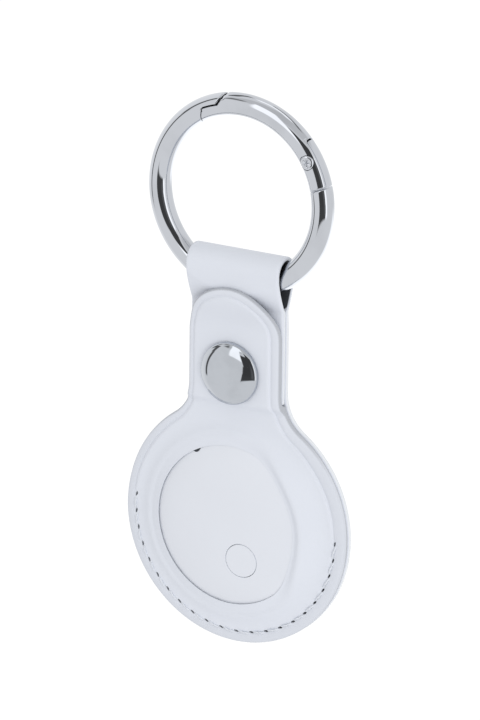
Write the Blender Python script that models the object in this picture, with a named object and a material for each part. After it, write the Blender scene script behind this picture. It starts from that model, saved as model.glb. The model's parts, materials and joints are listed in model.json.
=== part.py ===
# Tracker tag holder: a leather pouch with a round window, a snap tongue and a spring gate ring.
# Metres, +Z up, the front faces -Y. The origin is where the ring hangs, at the top of its inner hole.

import math

import bmesh
import bpy
from mathutils import Vector

MM = 0.001

# Ring and gate
RING_MEAN_RADIUS = 15.8 * MM
WIRE_RADIUS = 1.95 * MM
SEAM_DEG = 11.0
PIN_DEG = 31.0
LIP_TIP_DEG = 96.0
LIP_ROOT_DEG = 104.6
CATCH_ROOT_DEG = 114.5
CATCH_TIP_DEG = 123.0
GATE_SIDE_FAR_DEG = 70.0
BODY_SIDE_FAR_DEG = 145.0
CHEEK_FAR_DEG = 25.0
SLOT_OVERRUN_DEG = 6.0
WIRE_OVERRUN_DEG = 4.0
TENON_REACH_DEG = 12.0
LAP_OFFSET = 0.1 * MM
SEAM_GAP = 0.12 * MM
HEEL_ARC_DEG = 40.0
TENON_THICKNESS = 1.3 * MM
TENON_SIDE_GAP = 0.1 * MM
TENON_NOSE_MARGIN = 0.35 * MM
TENON_NOSE_GAP = 0.3 * MM
PIN_RADIUS = 0.95 * MM
PIN_RUNNING_GAP = 0.06 * MM
PIN_HEAD_PROUD = 0.06 * MM
SPRING_LEAN_DEG = 6.0
SPRING_WIRE_RADIUS = 0.14 * MM
SPRING_COIL_RADIUS = 0.55 * MM
SPRING_LENGTH = 2.7 * MM
SPRING_TURNS = 3
SPRING_STEPS_PER_TURN = 12
SPRING_SIDES = 5
SPRING_BORE_GAP = 0.12 * MM
PLUNGER_LENGTH = 1.3 * MM
PLUNGER_GAP = 0.06 * MM

# Tracker tag
TAG_RIM_ROOM = 5.23 * MM
TAG_FRONT_DEPTH = 3.9 * MM
TAG_FRONT_POWER = 2.4
TAG_DOME_SHARES = (0.0, 0.35, 0.6, 0.77, 0.88, 0.95, 0.985)
TAG_PLAY = 0.15 * MM
TAG_WALL = 0.9 * MM
TAG_SEAM_GAP = 0.08 * MM
COVER_WALL = 0.5 * MM
COVER_STEP = 0.25 * MM
COVER_SHOULDER = 4.2 * MM
COVER_POWER = 2.2
COVER_DISH_SHARES = (0.0, 0.35, 0.62, 0.83, 0.95, 1.0)
SEAL_GAP = 0.35 * MM
SEAL_WIRE_RADIUS = 0.4 * MM
SEAL_SIDES = 5
BUTTON_RADIUS = 3.1 * MM
BUTTON_GAP = 0.12 * MM
BUTTON_TRAVEL = 0.3 * MM
BUTTON_RIGHT = 2.7 * MM
BUTTON_DOWN = 5.7 * MM
BUTTON_FLANGE_WIDTH = 0.5 * MM
BUTTON_FLANGE_THICKNESS = 0.3 * MM
BOARD_GAP = 1.5 * MM
BOARD_THICKNESS = 0.6 * MM
BATTERY_RADIUS = 10.0 * MM
BATTERY_THICKNESS = 3.2 * MM
BATTERY_CHAMFER = 0.1 * MM
TRAY_WALL = 0.6 * MM
TRAY_GAP = 0.12 * MM
SWITCH_SIZE = 2.6 * MM
SOUNDER_RADIUS = 3.4 * MM
SOUNDER_LEFT = 2.7 * MM
SOUNDER_UP = 4.0 * MM
CHIP_SIZE = 3.6 * MM
CHIP_FROM_EDGE = 6.1 * MM
CHIP_UP = 1.8 * MM
FRONT_PARTS_HEIGHT = 0.7 * MM
CONTACT_THICKNESS = 0.15 * MM
CONTACT_WIDTH = 2.4 * MM
CONTACT_ROOM = 0.55 * MM
FRONT_CONTACT_LENGTH = 4.8 * MM
BACK_CONTACT_LENGTH = 7.2 * MM
STACK_GAP = 0.05 * MM

# Leather
PANEL_LEATHER = 0.95 * MM
PANEL_LINING = 0.25 * MM
STRAP_LEATHER = 0.7 * MM
STRAP_LINING = 0.2 * MM
GLUE_LINE = 0.05 * MM
LINING_INSET = 0.5 * MM
SEAM_MARGIN = 2.6 * MM
NECK_FILLET = 8.0 * MM
STRAP_WIDTH = 18.0 * MM
TONGUE_WIDTH = 18.1 * MM
BEND_ABOVE_HINGE = 18.4 * MM
HINGE_BELOW_RIM = 1.2 * MM
TONGUE_LENGTH = 22.1 * MM
TONGUE_ROUND_DEG = 84.0
STRAP_END_ABOVE_HINGE = 2.2 * MM
TONGUE_STEP_HEIGHT = 1.9 * MM
TONGUE_LEAN_LENGTH = 6.9 * MM
HINGE_GAP = 0.12 * MM
WINDOW_LIP = 1.95 * MM
WINDOW_FLAT_INSIDE = 1.4 * MM
WINDOW_RIM_RISE = 2.2 * MM
FRONT_SKIRT = 2.95 * MM
BACK_SKIRT = 3.05 * MM
BACK_SHOULDER = 2.55 * MM
STITCH_MARGIN = 2.0 * MM
STITCH_COUNT = 22
STITCH_FIRST_DEG = 173.0
STITCH_LAST_DEG = 367.0
SLIT_LENGTH = 1.3 * MM
SLIT_WIDTH = 0.56 * MM
SLIT_SLANT_DEG = 40.0
THREAD_RADIUS = 0.17 * MM
THREAD_SIDES = 4
THREAD_LIFT = 0.08 * MM
THREAD_REACH = 0.42 * MM
THREAD_DEPTH = 0.64 * MM
THREAD_DIP_SHARE = 0.35

# Strap loop round the ring
LOOP_SIDE_GAP = 0.2 * MM
LOOP_TOP_GAP = 0.25 * MM
LOOP_DROP = 1.45 * MM
BELLY_HEIGHT_SHARE = 0.85

# Snap
SNAP_ABOVE_HINGE = 7.0 * MM
CAP_RADIUS = 5.55 * MM
CAP_HEIGHT = 2.1 * MM
CAP_RIM_HEIGHT = 0.8 * MM
CAP_SHEET = 0.35 * MM
CAP_CROWN_SHARES = (1.0, 0.9, 0.75, 0.5, 0.25)
CAP_CROWN_POWER = 2.2
CAP_HOLLOW_SHARE = 0.6
SHANK_RADIUS = 1.2 * MM
SOCKET_RADIUS = 3.8 * MM
SOCKET_PLATE = 0.3 * MM
SOCKET_LIP = 0.16 * MM
SOCKET_MOUTH_RADIUS = 1.95 * MM
SOCKET_GROOVE_RADIUS = 2.25 * MM
CLASP_WIRE = 0.3 * MM
CLASP_INNER_RADIUS = 1.75 * MM
CLASP_GAP_DEG = 50.0
STUD_FLANGE_RADIUS = 3.3 * MM
STUD_KNOB_RADIUS = 1.5 * MM
STUD_NECK_RADIUS = 1.3 * MM
STUD_CLEARANCE = 0.2 * MM
STUD_HOLLOW_RADIUS = 0.95 * MM
STUD_CROWN = 0.18 * MM
STUD_BULGE_SHARES = (0.6, 0.2)
POST_RADIUS = 0.85 * MM
POST_HEAD_RADIUS = 4.4 * MM
POST_HEAD_HEIGHT = 0.6 * MM
POST_HEAD_SHARES = ((1.0, 0.35), (0.85, 0.75), (0.5, 1.0))
HOLE_GAP = 0.15 * MM
SOCKET_HOLE_GAP = 0.5 * MM
SEAT_GAP = 0.03 * MM

# Counts of facets, and how far the cutters run over
WIRE_SIDES = 12
BODY_STEPS = 56
GATE_STEPS = 22
PANEL_SPOKES = 46
ROUND_SIDES = 36
SMALL_SIDES = 20
CUT_OVERRUN = 1.5 * MM
MERGE_DISTANCE = 0.0001 * MM

# Sizes and places worked out from those above
RING_INNER_RADIUS = RING_MEAN_RADIUS - WIRE_RADIUS
RING_OUTER_RADIUS = RING_MEAN_RADIUS + WIRE_RADIUS
TAG_RADIUS = BATTERY_RADIUS + TRAY_GAP + TRAY_WALL + TAG_RIM_ROOM
TENON_NOSE_RADIUS = WIRE_RADIUS + TENON_NOSE_MARGIN
RING_CUT_REACH = WIRE_RADIUS + CUT_OVERRUN
WINDOW_RADIUS = TAG_RADIUS - WINDOW_LIP
FRONT_FLAT_RADIUS = WINDOW_RADIUS - WINDOW_FLAT_INSIDE
FRONT_FOOT_RADIUS = TAG_RADIUS + FRONT_SKIRT
BACK_FLAT_RADIUS = TAG_RADIUS - BACK_SHOULDER
BACK_FOOT_RADIUS = TAG_RADIUS + BACK_SKIRT
DISC_RADIUS = BACK_FOOT_RADIUS + SEAM_MARGIN
STITCH_RADIUS = DISC_RADIUS - STITCH_MARGIN
COVER_RADIUS = TAG_RADIUS - COVER_STEP
SEAL_RADIUS = TAG_RADIUS - TAG_WALL - SEAL_GAP - SEAL_WIRE_RADIUS
BOARD_RADIUS = SEAL_RADIUS - SEAL_WIRE_RADIUS - BOARD_GAP
CHIP_X = BOARD_RADIUS - CHIP_FROM_EDGE
RING_Z = -RING_INNER_RADIUS
WIRE_BOTTOM_Z = RING_Z - RING_OUTER_RADIUS
WIRE_LOW_Z = RING_Z - RING_MEAN_RADIUS
BEND_Z = WIRE_BOTTOM_Z - LOOP_DROP
HINGE_Z = BEND_Z - BEND_ABOVE_HINGE
DISC_Z = HINGE_Z + HINGE_BELOW_RIM - DISC_RADIUS
TIP_Z = HINGE_Z + TONGUE_LENGTH
SNAP_Z = HINGE_Z + SNAP_ABOVE_HINGE
STRAP_END_Z = HINGE_Z + STRAP_END_ABOVE_HINGE
PIN_X = RING_MEAN_RADIUS * math.cos(math.radians(PIN_DEG))
PIN_Z = RING_Z + RING_MEAN_RADIUS * math.sin(math.radians(PIN_DEG))
HALF_LINE = 0.5 * GLUE_LINE
LEATHER_FROM = HALF_LINE + PANEL_LINING + GLUE_LINE
PANEL_TOTAL = LEATHER_FROM + PANEL_LEATHER
STRAP_TOTAL = HALF_LINE + STRAP_LINING + GLUE_LINE + STRAP_LEATHER
TONGUE_STEP = STRAP_TOTAL + HALF_LINE
TONGUE_SEAT_Y = -(TONGUE_STEP + LEATHER_FROM)
TONGUE_FRONT_Y = -(TONGUE_STEP + PANEL_TOTAL)
LOOP_HALF_GAP = WIRE_RADIUS + LOOP_SIDE_GAP
BELLY_Z = BEND_Z + BELLY_HEIGHT_SHARE * (WIRE_LOW_Z - BEND_Z)
WIRE_AT_EDGE_Z = RING_Z - math.sqrt(RING_INNER_RADIUS ** 2 - (0.5 * STRAP_WIDTH) ** 2)
LOOP_ROUND_Z = WIRE_AT_EDGE_Z + LOOP_TOP_GAP - LOOP_HALF_GAP
BUTTON_REACH = math.hypot(BUTTON_RIGHT, BUTTON_DOWN) + BUTTON_RADIUS + BUTTON_FLANGE_WIDTH
SHELL_HEIGHT_AT_FLANGE = (TAG_FRONT_DEPTH - TAG_WALL) * (
    1 - (BUTTON_REACH / (TAG_RADIUS - TAG_WALL)) ** TAG_FRONT_POWER) ** (1 / TAG_FRONT_POWER)
FLANGE_DEPTH = TAG_FRONT_DEPTH - SHELL_HEIGHT_AT_FLANGE + 2 * STACK_GAP
BUTTON_DEPTH = FLANGE_DEPTH + BUTTON_FLANGE_THICKNESS
STACK_FRONT = BUTTON_DEPTH + BUTTON_TRAVEL + STACK_GAP + FRONT_PARTS_HEIGHT + STACK_GAP
STACK_BACK = BATTERY_THICKNESS + 2 * STACK_GAP + CONTACT_THICKNESS + COVER_WALL
TAG_THICKNESS = STACK_FRONT + BOARD_THICKNESS + CONTACT_ROOM + STACK_BACK
WINDOW_SHARE = (1 + math.cos(math.pi * (WINDOW_RADIUS - FRONT_FLAT_RADIUS)
                             / (FRONT_FOOT_RADIUS - FRONT_FLAT_RADIUS))) / 2
FRONT_DOME = WINDOW_RIM_RISE / WINDOW_SHARE
TAG_HEIGHT_AT_WINDOW = TAG_FRONT_DEPTH * (1 - (WINDOW_RADIUS / TAG_RADIUS) ** TAG_FRONT_POWER) ** (
    1 / TAG_FRONT_POWER)
TAG_SEAM_Y = TAG_HEIGHT_AT_WINDOW - WINDOW_RIM_RISE + TAG_PLAY
TAG_FRONT_Y = TAG_SEAM_Y - TAG_FRONT_DEPTH
TAG_BACK_Y = TAG_FRONT_Y + TAG_THICKNESS
BACK_DOME = TAG_BACK_Y + TAG_PLAY - HALF_LINE
BUTTON_Z = DISC_Z - BUTTON_DOWN
KNOB_TOP_Y = TONGUE_SEAT_Y + 2 * SEAT_GAP + SOCKET_PLATE + STUD_CLEARANCE

WHITE_LEATHER = ((0.78, 0.80, 0.84, 1.0), 0.55, 0.0)
GREY_LINING = ((0.045, 0.05, 0.06, 1.0), 0.85, 0.0)
CHROME = ((0.80, 0.81, 0.82, 1.0), 0.12, 1.0)
SPRING_STEEL = ((0.55, 0.55, 0.56, 1.0), 0.3, 1.0)
WHITE_THREAD = ((0.80, 0.81, 0.83, 1.0), 0.8, 0.0)
WHITE_PLASTIC = ((0.82, 0.83, 0.85, 1.0), 0.3, 0.0)
CLEAR_GREY = ((0.35, 0.36, 0.38, 1.0), 0.5, 0.0)
STEEL = ((0.62, 0.63, 0.64, 1.0), 0.25, 1.0)
BOARD_GREEN = ((0.03, 0.16, 0.08, 1.0), 0.5, 0.0)
RUBBER_BLACK = ((0.02, 0.02, 0.02, 1.0), 0.7, 0.0)
CHIP_BLACK = ((0.03, 0.03, 0.03, 1.0), 0.45, 0.0)
GOLD = ((0.72, 0.53, 0.20, 1.0), 0.3, 1.0)


def make_material(name, look):
    """A Principled material named after its part."""
    color, roughness, metallic = look
    material = bpy.data.materials.new(name)
    material.use_nodes = True
    shader = material.node_tree.nodes["Principled BSDF"]
    shader.inputs["Base Color"].default_value = color
    shader.inputs["Roughness"].default_value = roughness
    shader.inputs["Metallic"].default_value = metallic
    material.diffuse_color = color
    return material


def make_object(name, points, faces, look=None):
    """A mesh object from points and faces, cleaned and with its faces turned outwards."""
    mesh = bpy.data.meshes.new(name)
    mesh.from_pydata(points, [], faces)
    work = bmesh.new()
    work.from_mesh(mesh)
    bmesh.ops.remove_doubles(work, verts=work.verts, dist=MERGE_DISTANCE)
    bmesh.ops.recalc_face_normals(work, faces=work.faces)
    work.to_mesh(mesh)
    work.free()
    result = bpy.data.objects.new(name, mesh)
    bpy.context.scene.collection.objects.link(result)
    if look:
        mesh.materials.append(make_material(name, look))
        mesh.shade_smooth()
        mesh.set_sharp_from_angle(angle=math.radians(35))
    else:
        result.hide_render = True
        result.display_type = "WIRE"
    return result


def cut(target, cutter, operation="DIFFERENCE"):
    """An exact Boolean of a target by a guide object."""
    modifier = target.modifiers.new(cutter.name, "BOOLEAN")
    modifier.operation = operation
    modifier.solver = "EXACT"
    modifier.object = cutter


def carry(child, parent):
    """Parents an object to an empty without moving it."""
    child.parent = parent
    child.matrix_parent_inverse = parent.matrix_basis.inverted()


def make_pivot(name, place):
    """An empty on a joint's axis."""
    pivot = bpy.data.objects.new(name, None)
    pivot.empty_display_size = WIRE_RADIUS
    pivot.location = place
    bpy.context.scene.collection.objects.link(pivot)
    return pivot


def loft(name, rings, look=None, closed=False):
    """A solid through rings of equally many points, capped at both ends or closed on itself."""
    count = len(rings[0])
    points = [point for ring in rings for point in ring]
    faces = []
    spans = len(rings) if closed else len(rings) - 1
    for step in range(spans):
        here = step * count
        there = ((step + 1) % len(rings)) * count
        for side in range(count):
            after = (side + 1) % count
            faces.append((here + side, here + after, there + after, there + side))
    if not closed:
        faces.append(tuple(range(count)))
        faces.append(tuple(range((len(rings) - 1) * count, len(rings) * count)))
    return make_object(name, points, faces, look)


def prism(name, outline, low_y, high_y, look=None):
    """A solid from an outline in X and Z, between two planes of Y."""
    rings = [[(x, y, z) for x, z in outline] for y in (low_y, high_y)]
    return loft(name, rings, look)


def lathe(name, profile, centre, look=None, sides=ROUND_SIDES):
    """A solid turned about an axis along Y, from a closed profile of radius and Y."""
    centre_x, centre_z = centre
    points = []
    starts = []
    for radius, y in profile:
        starts.append(len(points))
        if radius == 0:
            points.append((centre_x, y, centre_z))
            continue
        for step in range(sides):
            angle = math.tau * step / sides
            points.append((centre_x + radius * math.cos(angle), y, centre_z + radius * math.sin(angle)))
    faces = []
    for index, (radius, _) in enumerate(profile):
        after = (index + 1) % len(profile)
        here = starts[index]
        there = starts[after]
        next_radius = profile[after][0]
        for step in range(sides):
            turn = (step + 1) % sides
            if radius == 0 and next_radius == 0:
                break
            if radius == 0:
                faces.append((here, there + step, there + turn))
            elif next_radius == 0:
                faces.append((here + turn, here + step, there))
            else:
                faces.append((here + step, there + step, there + turn, here + turn))
    return make_object(name, points, faces, look)


def tube(name, path, radius, sides, look=None):
    """A tube along a path, its section kept from twisting."""
    path = [Vector(point) for point in path]
    rings = []
    side_way = None
    for index, point in enumerate(path):
        before = path[max(index - 1, 0)]
        after = path[min(index + 1, len(path) - 1)]
        forward = (after - before).normalized()
        if side_way is None:
            side_way = forward.orthogonal().normalized()
        side_way = (side_way - forward * side_way.dot(forward)).normalized()
        other_way = forward.cross(side_way)
        rings.append([point + radius * (math.cos(math.tau * step / sides) * side_way
                                        + math.sin(math.tau * step / sides) * other_way)
                      for step in range(sides)])
    return loft(name, rings, look)


def spread(first, last, count):
    """Evenly spaced values from first up to, but not including, last."""
    return [first + (last - first) * step / count for step in range(count)]


def ease(share):
    """A smooth rise from 0 to 1."""
    return (1 - math.cos(math.pi * min(max(share, 0), 1))) / 2


# The ring and its gate

def ring_point(radius, degrees):
    """A point in the ring's plane, as X and Z."""
    angle = math.radians(degrees)
    return (radius * math.cos(angle), RING_Z + radius * math.sin(angle))


def wire_arc(name, first_deg, last_deg, steps, look=None):
    """The ring's round wire between two angles."""
    rings = []
    for step in range(steps + 1):
        angle = math.radians(first_deg + (last_deg - first_deg) * step / steps)
        ring = []
        for side in range(WIRE_SIDES):
            turn = math.tau * side / WIRE_SIDES
            radius = RING_MEAN_RADIUS + WIRE_RADIUS * math.cos(turn)
            ring.append((radius * math.cos(angle), WIRE_RADIUS * math.sin(turn),
                         RING_Z + radius * math.sin(angle)))
        rings.append(ring)
    return loft(name, rings, look)


def lap_outline(gap, gate_side):
    """The stepped nose joint, closed on the gate's side or on the body's side."""
    gap_deg = math.degrees(gap / RING_MEAN_RADIUS)
    sign = -1 if gate_side else 1
    shift = -0.5 * sign * gap_deg
    lap = RING_MEAN_RADIUS + LAP_OFFSET - 0.5 * sign * gap
    outer = RING_OUTER_RADIUS + CUT_OVERRUN
    inner = RING_INNER_RADIUS - CUT_OVERRUN
    outer_share = (outer - lap) / (RING_OUTER_RADIUS - lap)
    inner_share = (lap - inner) / (lap - RING_INNER_RADIUS)
    outer_deg = LIP_ROOT_DEG + (LIP_TIP_DEG - LIP_ROOT_DEG) * outer_share
    inner_deg = CATCH_ROOT_DEG + (CATCH_TIP_DEG - CATCH_ROOT_DEG) * inner_share
    seam = [ring_point(outer, outer_deg + shift), ring_point(lap, LIP_ROOT_DEG + shift)]
    seam += [ring_point(lap, degrees + shift) for degrees in spread(LIP_ROOT_DEG, CATCH_ROOT_DEG, 3)[1:]]
    seam += [ring_point(lap, CATCH_ROOT_DEG + shift), ring_point(inner, inner_deg + shift)]
    far_deg = GATE_SIDE_FAR_DEG if gate_side else BODY_SIDE_FAR_DEG
    outside = [ring_point(inner, far_deg)]
    for degrees in spread(far_deg, outer_deg + shift, 4):
        outside.append(ring_point(outer + CUT_OVERRUN, degrees))
    return seam + outside


def pin_arc(radius, first_deg, last_deg, steps):
    """Points on a circle round the gate's pin."""
    angles = [math.radians(degrees) for degrees in spread(first_deg, last_deg, steps) + [last_deg]]
    return [(PIN_X + radius * math.cos(angle), PIN_Z + radius * math.sin(angle)) for angle in angles]


def slot_outline(end_radius):
    """The sector the hinge tenon fills, round-ended about the pin."""
    along = PIN_DEG + 90
    outer = RING_OUTER_RADIUS + CUT_OVERRUN
    inner = RING_INNER_RADIUS - CUT_OVERRUN
    low_deg = SEAM_DEG - SLOT_OVERRUN_DEG
    reach = end_radius + CUT_OVERRUN
    end = pin_arc(end_radius, along - 90, along + 90, 12)
    across = math.radians(PIN_DEG)
    wide_out = (end[0][0] + reach * math.cos(across), end[0][1] + reach * math.sin(across))
    wide_in = (end[-1][0] - reach * math.cos(across), end[-1][1] - reach * math.sin(across))
    return [ring_point(outer, low_deg), wide_out] + end + [wide_in, ring_point(inner, low_deg)]


def nose_cut_outline(end_radius):
    """What lies past the tenon's round nose."""
    along = PIN_DEG + 90
    end = pin_arc(end_radius, along - 90, along + 90, 12)
    outer = RING_OUTER_RADIUS + CUT_OVERRUN
    inner = RING_INNER_RADIUS - CUT_OVERRUN
    far_deg = PIN_DEG + CHEEK_FAR_DEG
    return [ring_point(outer, PIN_DEG), ring_point(outer, far_deg), ring_point(inner, far_deg),
            ring_point(inner, PIN_DEG)] + end[::-1]


def cheek_outline(extra_deg):
    """The sector beside the tenon, from the seam past the nose."""
    outer = RING_OUTER_RADIUS + CUT_OVERRUN
    inner = RING_INNER_RADIUS - CUT_OVERRUN
    far_deg = PIN_DEG + CHEEK_FAR_DEG
    angles = spread(SEAM_DEG + extra_deg, far_deg, 4) + [far_deg]
    return [ring_point(outer, degrees) for degrees in angles] + [
        ring_point(inner, degrees) for degrees in reversed(angles)]


def pin_hole_cutter(name):
    """The hole in which the gate's pin turns."""
    radius = PIN_RADIUS + PIN_RUNNING_GAP
    far = RING_CUT_REACH
    profile = [(radius, -far), (0, -far), (0, far), (radius, far)]
    return lathe(name, profile, (PIN_X, PIN_Z), sides=SMALL_SIDES)


def make_ring_body():
    """The fixed part of the ring: outer lip at the nose, tenon at the hinge."""
    last_deg = 360 + PIN_DEG + TENON_REACH_DEG
    body = wire_arc("ring_body", LIP_TIP_DEG - WIRE_OVERRUN_DEG, last_deg, BODY_STEPS, CHROME)
    cut(body, prism("cut_body_nose", lap_outline(SEAM_GAP, True), -RING_CUT_REACH, RING_CUT_REACH))
    half = 0.5 * TENON_THICKNESS
    seam_half_deg = math.degrees(0.5 * SEAM_GAP / RING_MEAN_RADIUS)
    cheeks = cheek_outline(-seam_half_deg)
    cut(body, prism("cut_body_front_cheek", cheeks, -RING_CUT_REACH, -half))
    cut(body, prism("cut_body_back_cheek", cheeks, half, RING_CUT_REACH))
    past_nose = nose_cut_outline(TENON_NOSE_RADIUS)
    cut(body, prism("cut_tenon_nose", past_nose, -RING_CUT_REACH, RING_CUT_REACH))
    cut(body, pin_hole_cutter("cut_body_pin"))
    return body


def spring_axis():
    """Start point and direction of the gate spring's bore, along the gate's wire."""
    direction = math.radians(PIN_DEG + 90 + SPRING_LEAN_DEG)
    along = Vector((math.cos(direction), 0, math.sin(direction)))
    start = Vector((PIN_X, 0, PIN_Z)) + along * (TENON_NOSE_RADIUS + TENON_NOSE_GAP)
    return start, along


def bore_solid(name, radius, first, last):
    """A cylinder on the spring's axis."""
    start, along = spring_axis()
    path = [start + along * first, start + along * last]
    return tube(name, path, radius, SMALL_SIDES // 2)


def make_gate():
    """The hinged part of the ring: two ears, spring bore and the nose's inner catch."""
    seam_half_deg = math.degrees(0.5 * SEAM_GAP / RING_MEAN_RADIUS)
    last_deg = CATCH_TIP_DEG + WIRE_OVERRUN_DEG
    gate = wire_arc("ring_gate", SEAM_DEG + seam_half_deg, last_deg, GATE_STEPS, CHROME)
    cut(gate, prism("cut_gate_nose", lap_outline(SEAM_GAP, False), -RING_CUT_REACH, RING_CUT_REACH))
    half = 0.5 * TENON_THICKNESS + TENON_SIDE_GAP
    cut(gate, prism("cut_gate_slot", slot_outline(TENON_NOSE_RADIUS + TENON_NOSE_GAP), -half, half))
    ear_reach = RING_MEAN_RADIUS * math.radians(PIN_DEG - SEAM_DEG) - SEAM_GAP
    heel_deg = PIN_DEG - 90
    inner_corner = pin_arc(ear_reach, heel_deg, heel_deg - HEEL_ARC_DEG, 6)
    outside = pin_arc(ear_reach + CUT_OVERRUN, heel_deg - HEEL_ARC_DEG, heel_deg, 3)
    cut(gate, prism("cut_gate_heel", inner_corner + outside, -RING_CUT_REACH, RING_CUT_REACH))
    cut(gate, pin_hole_cutter("cut_gate_pin"))
    bore_radius = SPRING_COIL_RADIUS + SPRING_WIRE_RADIUS + SPRING_BORE_GAP
    bore_depth = PLUNGER_LENGTH + SPRING_LENGTH + 2 * SPRING_BORE_GAP
    cut(gate, bore_solid("cut_gate_bore", bore_radius, -TENON_NOSE_GAP, bore_depth))
    return gate


def make_pin():
    """The peened hinge pin."""
    reach = WIRE_RADIUS + PIN_HEAD_PROUD
    chamfer = 0.5 * PIN_HEAD_PROUD
    profile = [(0, -reach), (PIN_RADIUS - chamfer, -reach), (PIN_RADIUS, -reach + chamfer),
               (PIN_RADIUS, reach - chamfer), (PIN_RADIUS - chamfer, reach), (0, reach)]
    return lathe("gate_hinge_pin", profile, (PIN_X, PIN_Z), CHROME, SMALL_SIDES)


def make_plunger():
    """The small plunger between the spring and the tenon's nose."""
    start, along = spring_axis()
    radius = SPRING_COIL_RADIUS + SPRING_WIRE_RADIUS
    path = [start - along * (TENON_NOSE_GAP - PLUNGER_GAP), start + along * PLUNGER_LENGTH]
    return tube("gate_plunger", path, radius, SMALL_SIDES // 2, STEEL)


def make_gate_spring():
    """The closing spring in the gate, one unbroken coil."""
    start, along = spring_axis()
    across = Vector((0, 1, 0))
    out = along.cross(across)
    total = SPRING_TURNS * SPRING_STEPS_PER_TURN
    first = PLUNGER_LENGTH + SPRING_BORE_GAP + SPRING_WIRE_RADIUS
    rise = SPRING_LENGTH - SPRING_BORE_GAP - 2 * SPRING_WIRE_RADIUS
    path = []
    for step in range(total + 1):
        angle = math.tau * step / SPRING_STEPS_PER_TURN
        path.append(start + along * (first + rise * step / total)
                    + SPRING_COIL_RADIUS * (math.cos(angle) * across + math.sin(angle) * out))
    pitch = rise / SPRING_TURNS
    print("gate spring least gap between turns, m:", pitch - 2 * SPRING_WIRE_RADIUS)
    return tube("gate_spring", path, SPRING_WIRE_RADIUS, SPRING_SIDES, SPRING_STEEL)


# The leather panels

def outline_distance(angle, half_width, inset, top):
    """How far the disc-and-neck outline lies from the disc's centre, in one direction."""
    radius = DISC_RADIUS - inset
    width = half_width - inset
    fillet = NECK_FILLET + inset
    across = abs(math.cos(angle))
    up = math.sin(angle)
    fillet_z = math.sqrt((radius + fillet) ** 2 - (width + fillet) ** 2)
    disc_end = math.atan2(fillet_z, width + fillet)
    neck_start = math.atan2(fillet_z, width)
    climb = math.atan2(up, across)
    if climb <= disc_end:
        distance = radius
    elif climb <= neck_start:
        toward = across * (width + fillet) + up * fillet_z
        far = (width + fillet) ** 2 + fillet_z ** 2
        distance = toward - math.sqrt(max(toward ** 2 - far + fillet ** 2, 0))
    else:
        distance = width / max(across, 1e-6)
    if up > 0:
        distance = min(distance, top / up)
    return distance


def corner_angle(half_width, inset, top):
    """The direction in which the outline meets its straight top."""
    low = 0.1
    high = 0.5 * math.pi
    for _ in range(40):
        middle = 0.5 * (low + high)
        uncut = outline_distance(middle, half_width, inset, 10 * DISC_RADIUS)
        if uncut * math.sin(middle) < top:
            low = middle
        else:
            high = middle
    return high


def panel_angles(half_width, inset, top):
    """Directions of the panel's spokes, with one through each top corner."""
    corner = corner_angle(half_width, inset, top)
    side_spokes = PANEL_SPOKES // 5
    top_spokes = PANEL_SPOKES // 9
    low_spokes = PANEL_SPOKES - 2 * side_spokes - top_spokes
    angles = spread(0, corner, side_spokes)
    angles += spread(corner, math.pi - corner, top_spokes)
    angles += spread(math.pi - corner, math.pi, side_spokes)
    angles += spread(math.pi, math.tau, low_spokes)
    return angles


def dome(radius, height, flat, foot):
    """How far a panel bulges at a radius from the disc's centre."""
    return height * ease((foot - radius) / (foot - flat))


def front_bulge(radius):
    """The front panel's bulge."""
    return dome(radius, FRONT_DOME, FRONT_FLAT_RADIUS, FRONT_FOOT_RADIUS)


def back_bulge(radius):
    """The back panel's bulge."""
    return dome(radius, BACK_DOME, BACK_FLAT_RADIUS, BACK_FOOT_RADIUS)


def make_panel(name, side, depths, bulge, radii, half_width, inset, top, look):
    """A domed sheet between two depths, from its first radius out to the outline."""
    angles = panel_angles(half_width, inset, top)
    rings = []
    for angle in angles:
        edge = outline_distance(angle, half_width, inset, top)
        steps = [radius for radius in radii] + [edge]
        ring = []
        for depth in depths:
            stations = steps if depth == depths[0] else steps[::-1]
            for radius in stations:
                y = side * (depth + bulge(radius))
                ring.append((radius * math.cos(angle), y, DISC_Z + radius * math.sin(angle)))
        rings.append(ring)
    return loft(name, rings, look, closed=True)


def slit_places():
    """Centre, direction along the seam and slanted direction of each stitch slit."""
    places = []
    for index in range(STITCH_COUNT):
        share = index / (STITCH_COUNT - 1)
        angle = math.radians(STITCH_FIRST_DEG + (STITCH_LAST_DEG - STITCH_FIRST_DEG) * share)
        centre = Vector((STITCH_RADIUS * math.cos(angle), 0, DISC_Z + STITCH_RADIUS * math.sin(angle)))
        slant = angle + math.radians(90 - SLIT_SLANT_DEG)
        places.append((centre, Vector((math.cos(slant), 0, math.sin(slant)))))
    return places


def make_slit_cutter():
    """One slanted slit for each stitch, through all the layers."""
    points = []
    faces = []
    deep = 2 * PANEL_TOTAL
    for centre, slant in slit_places():
        other = Vector((-slant.z, 0, slant.x))
        base = len(points)
        for y in (-deep, deep):
            for along, over in ((-1, -1), (1, -1), (1, 1), (-1, 1)):
                corner = centre + slant * (0.5 * along * SLIT_LENGTH) + other * (0.5 * over * SLIT_WIDTH)
                points.append((corner.x, y, corner.z))
        for low, high in ((0, 1), (1, 2), (2, 3), (3, 0)):
            faces.append((base + low, base + high, base + 4 + high, base + 4 + low))
        faces.append((base, base + 3, base + 2, base + 1))
        faces.append((base + 4, base + 5, base + 6, base + 7))
    return make_object("cut_stitch_slits", points, faces)


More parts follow.
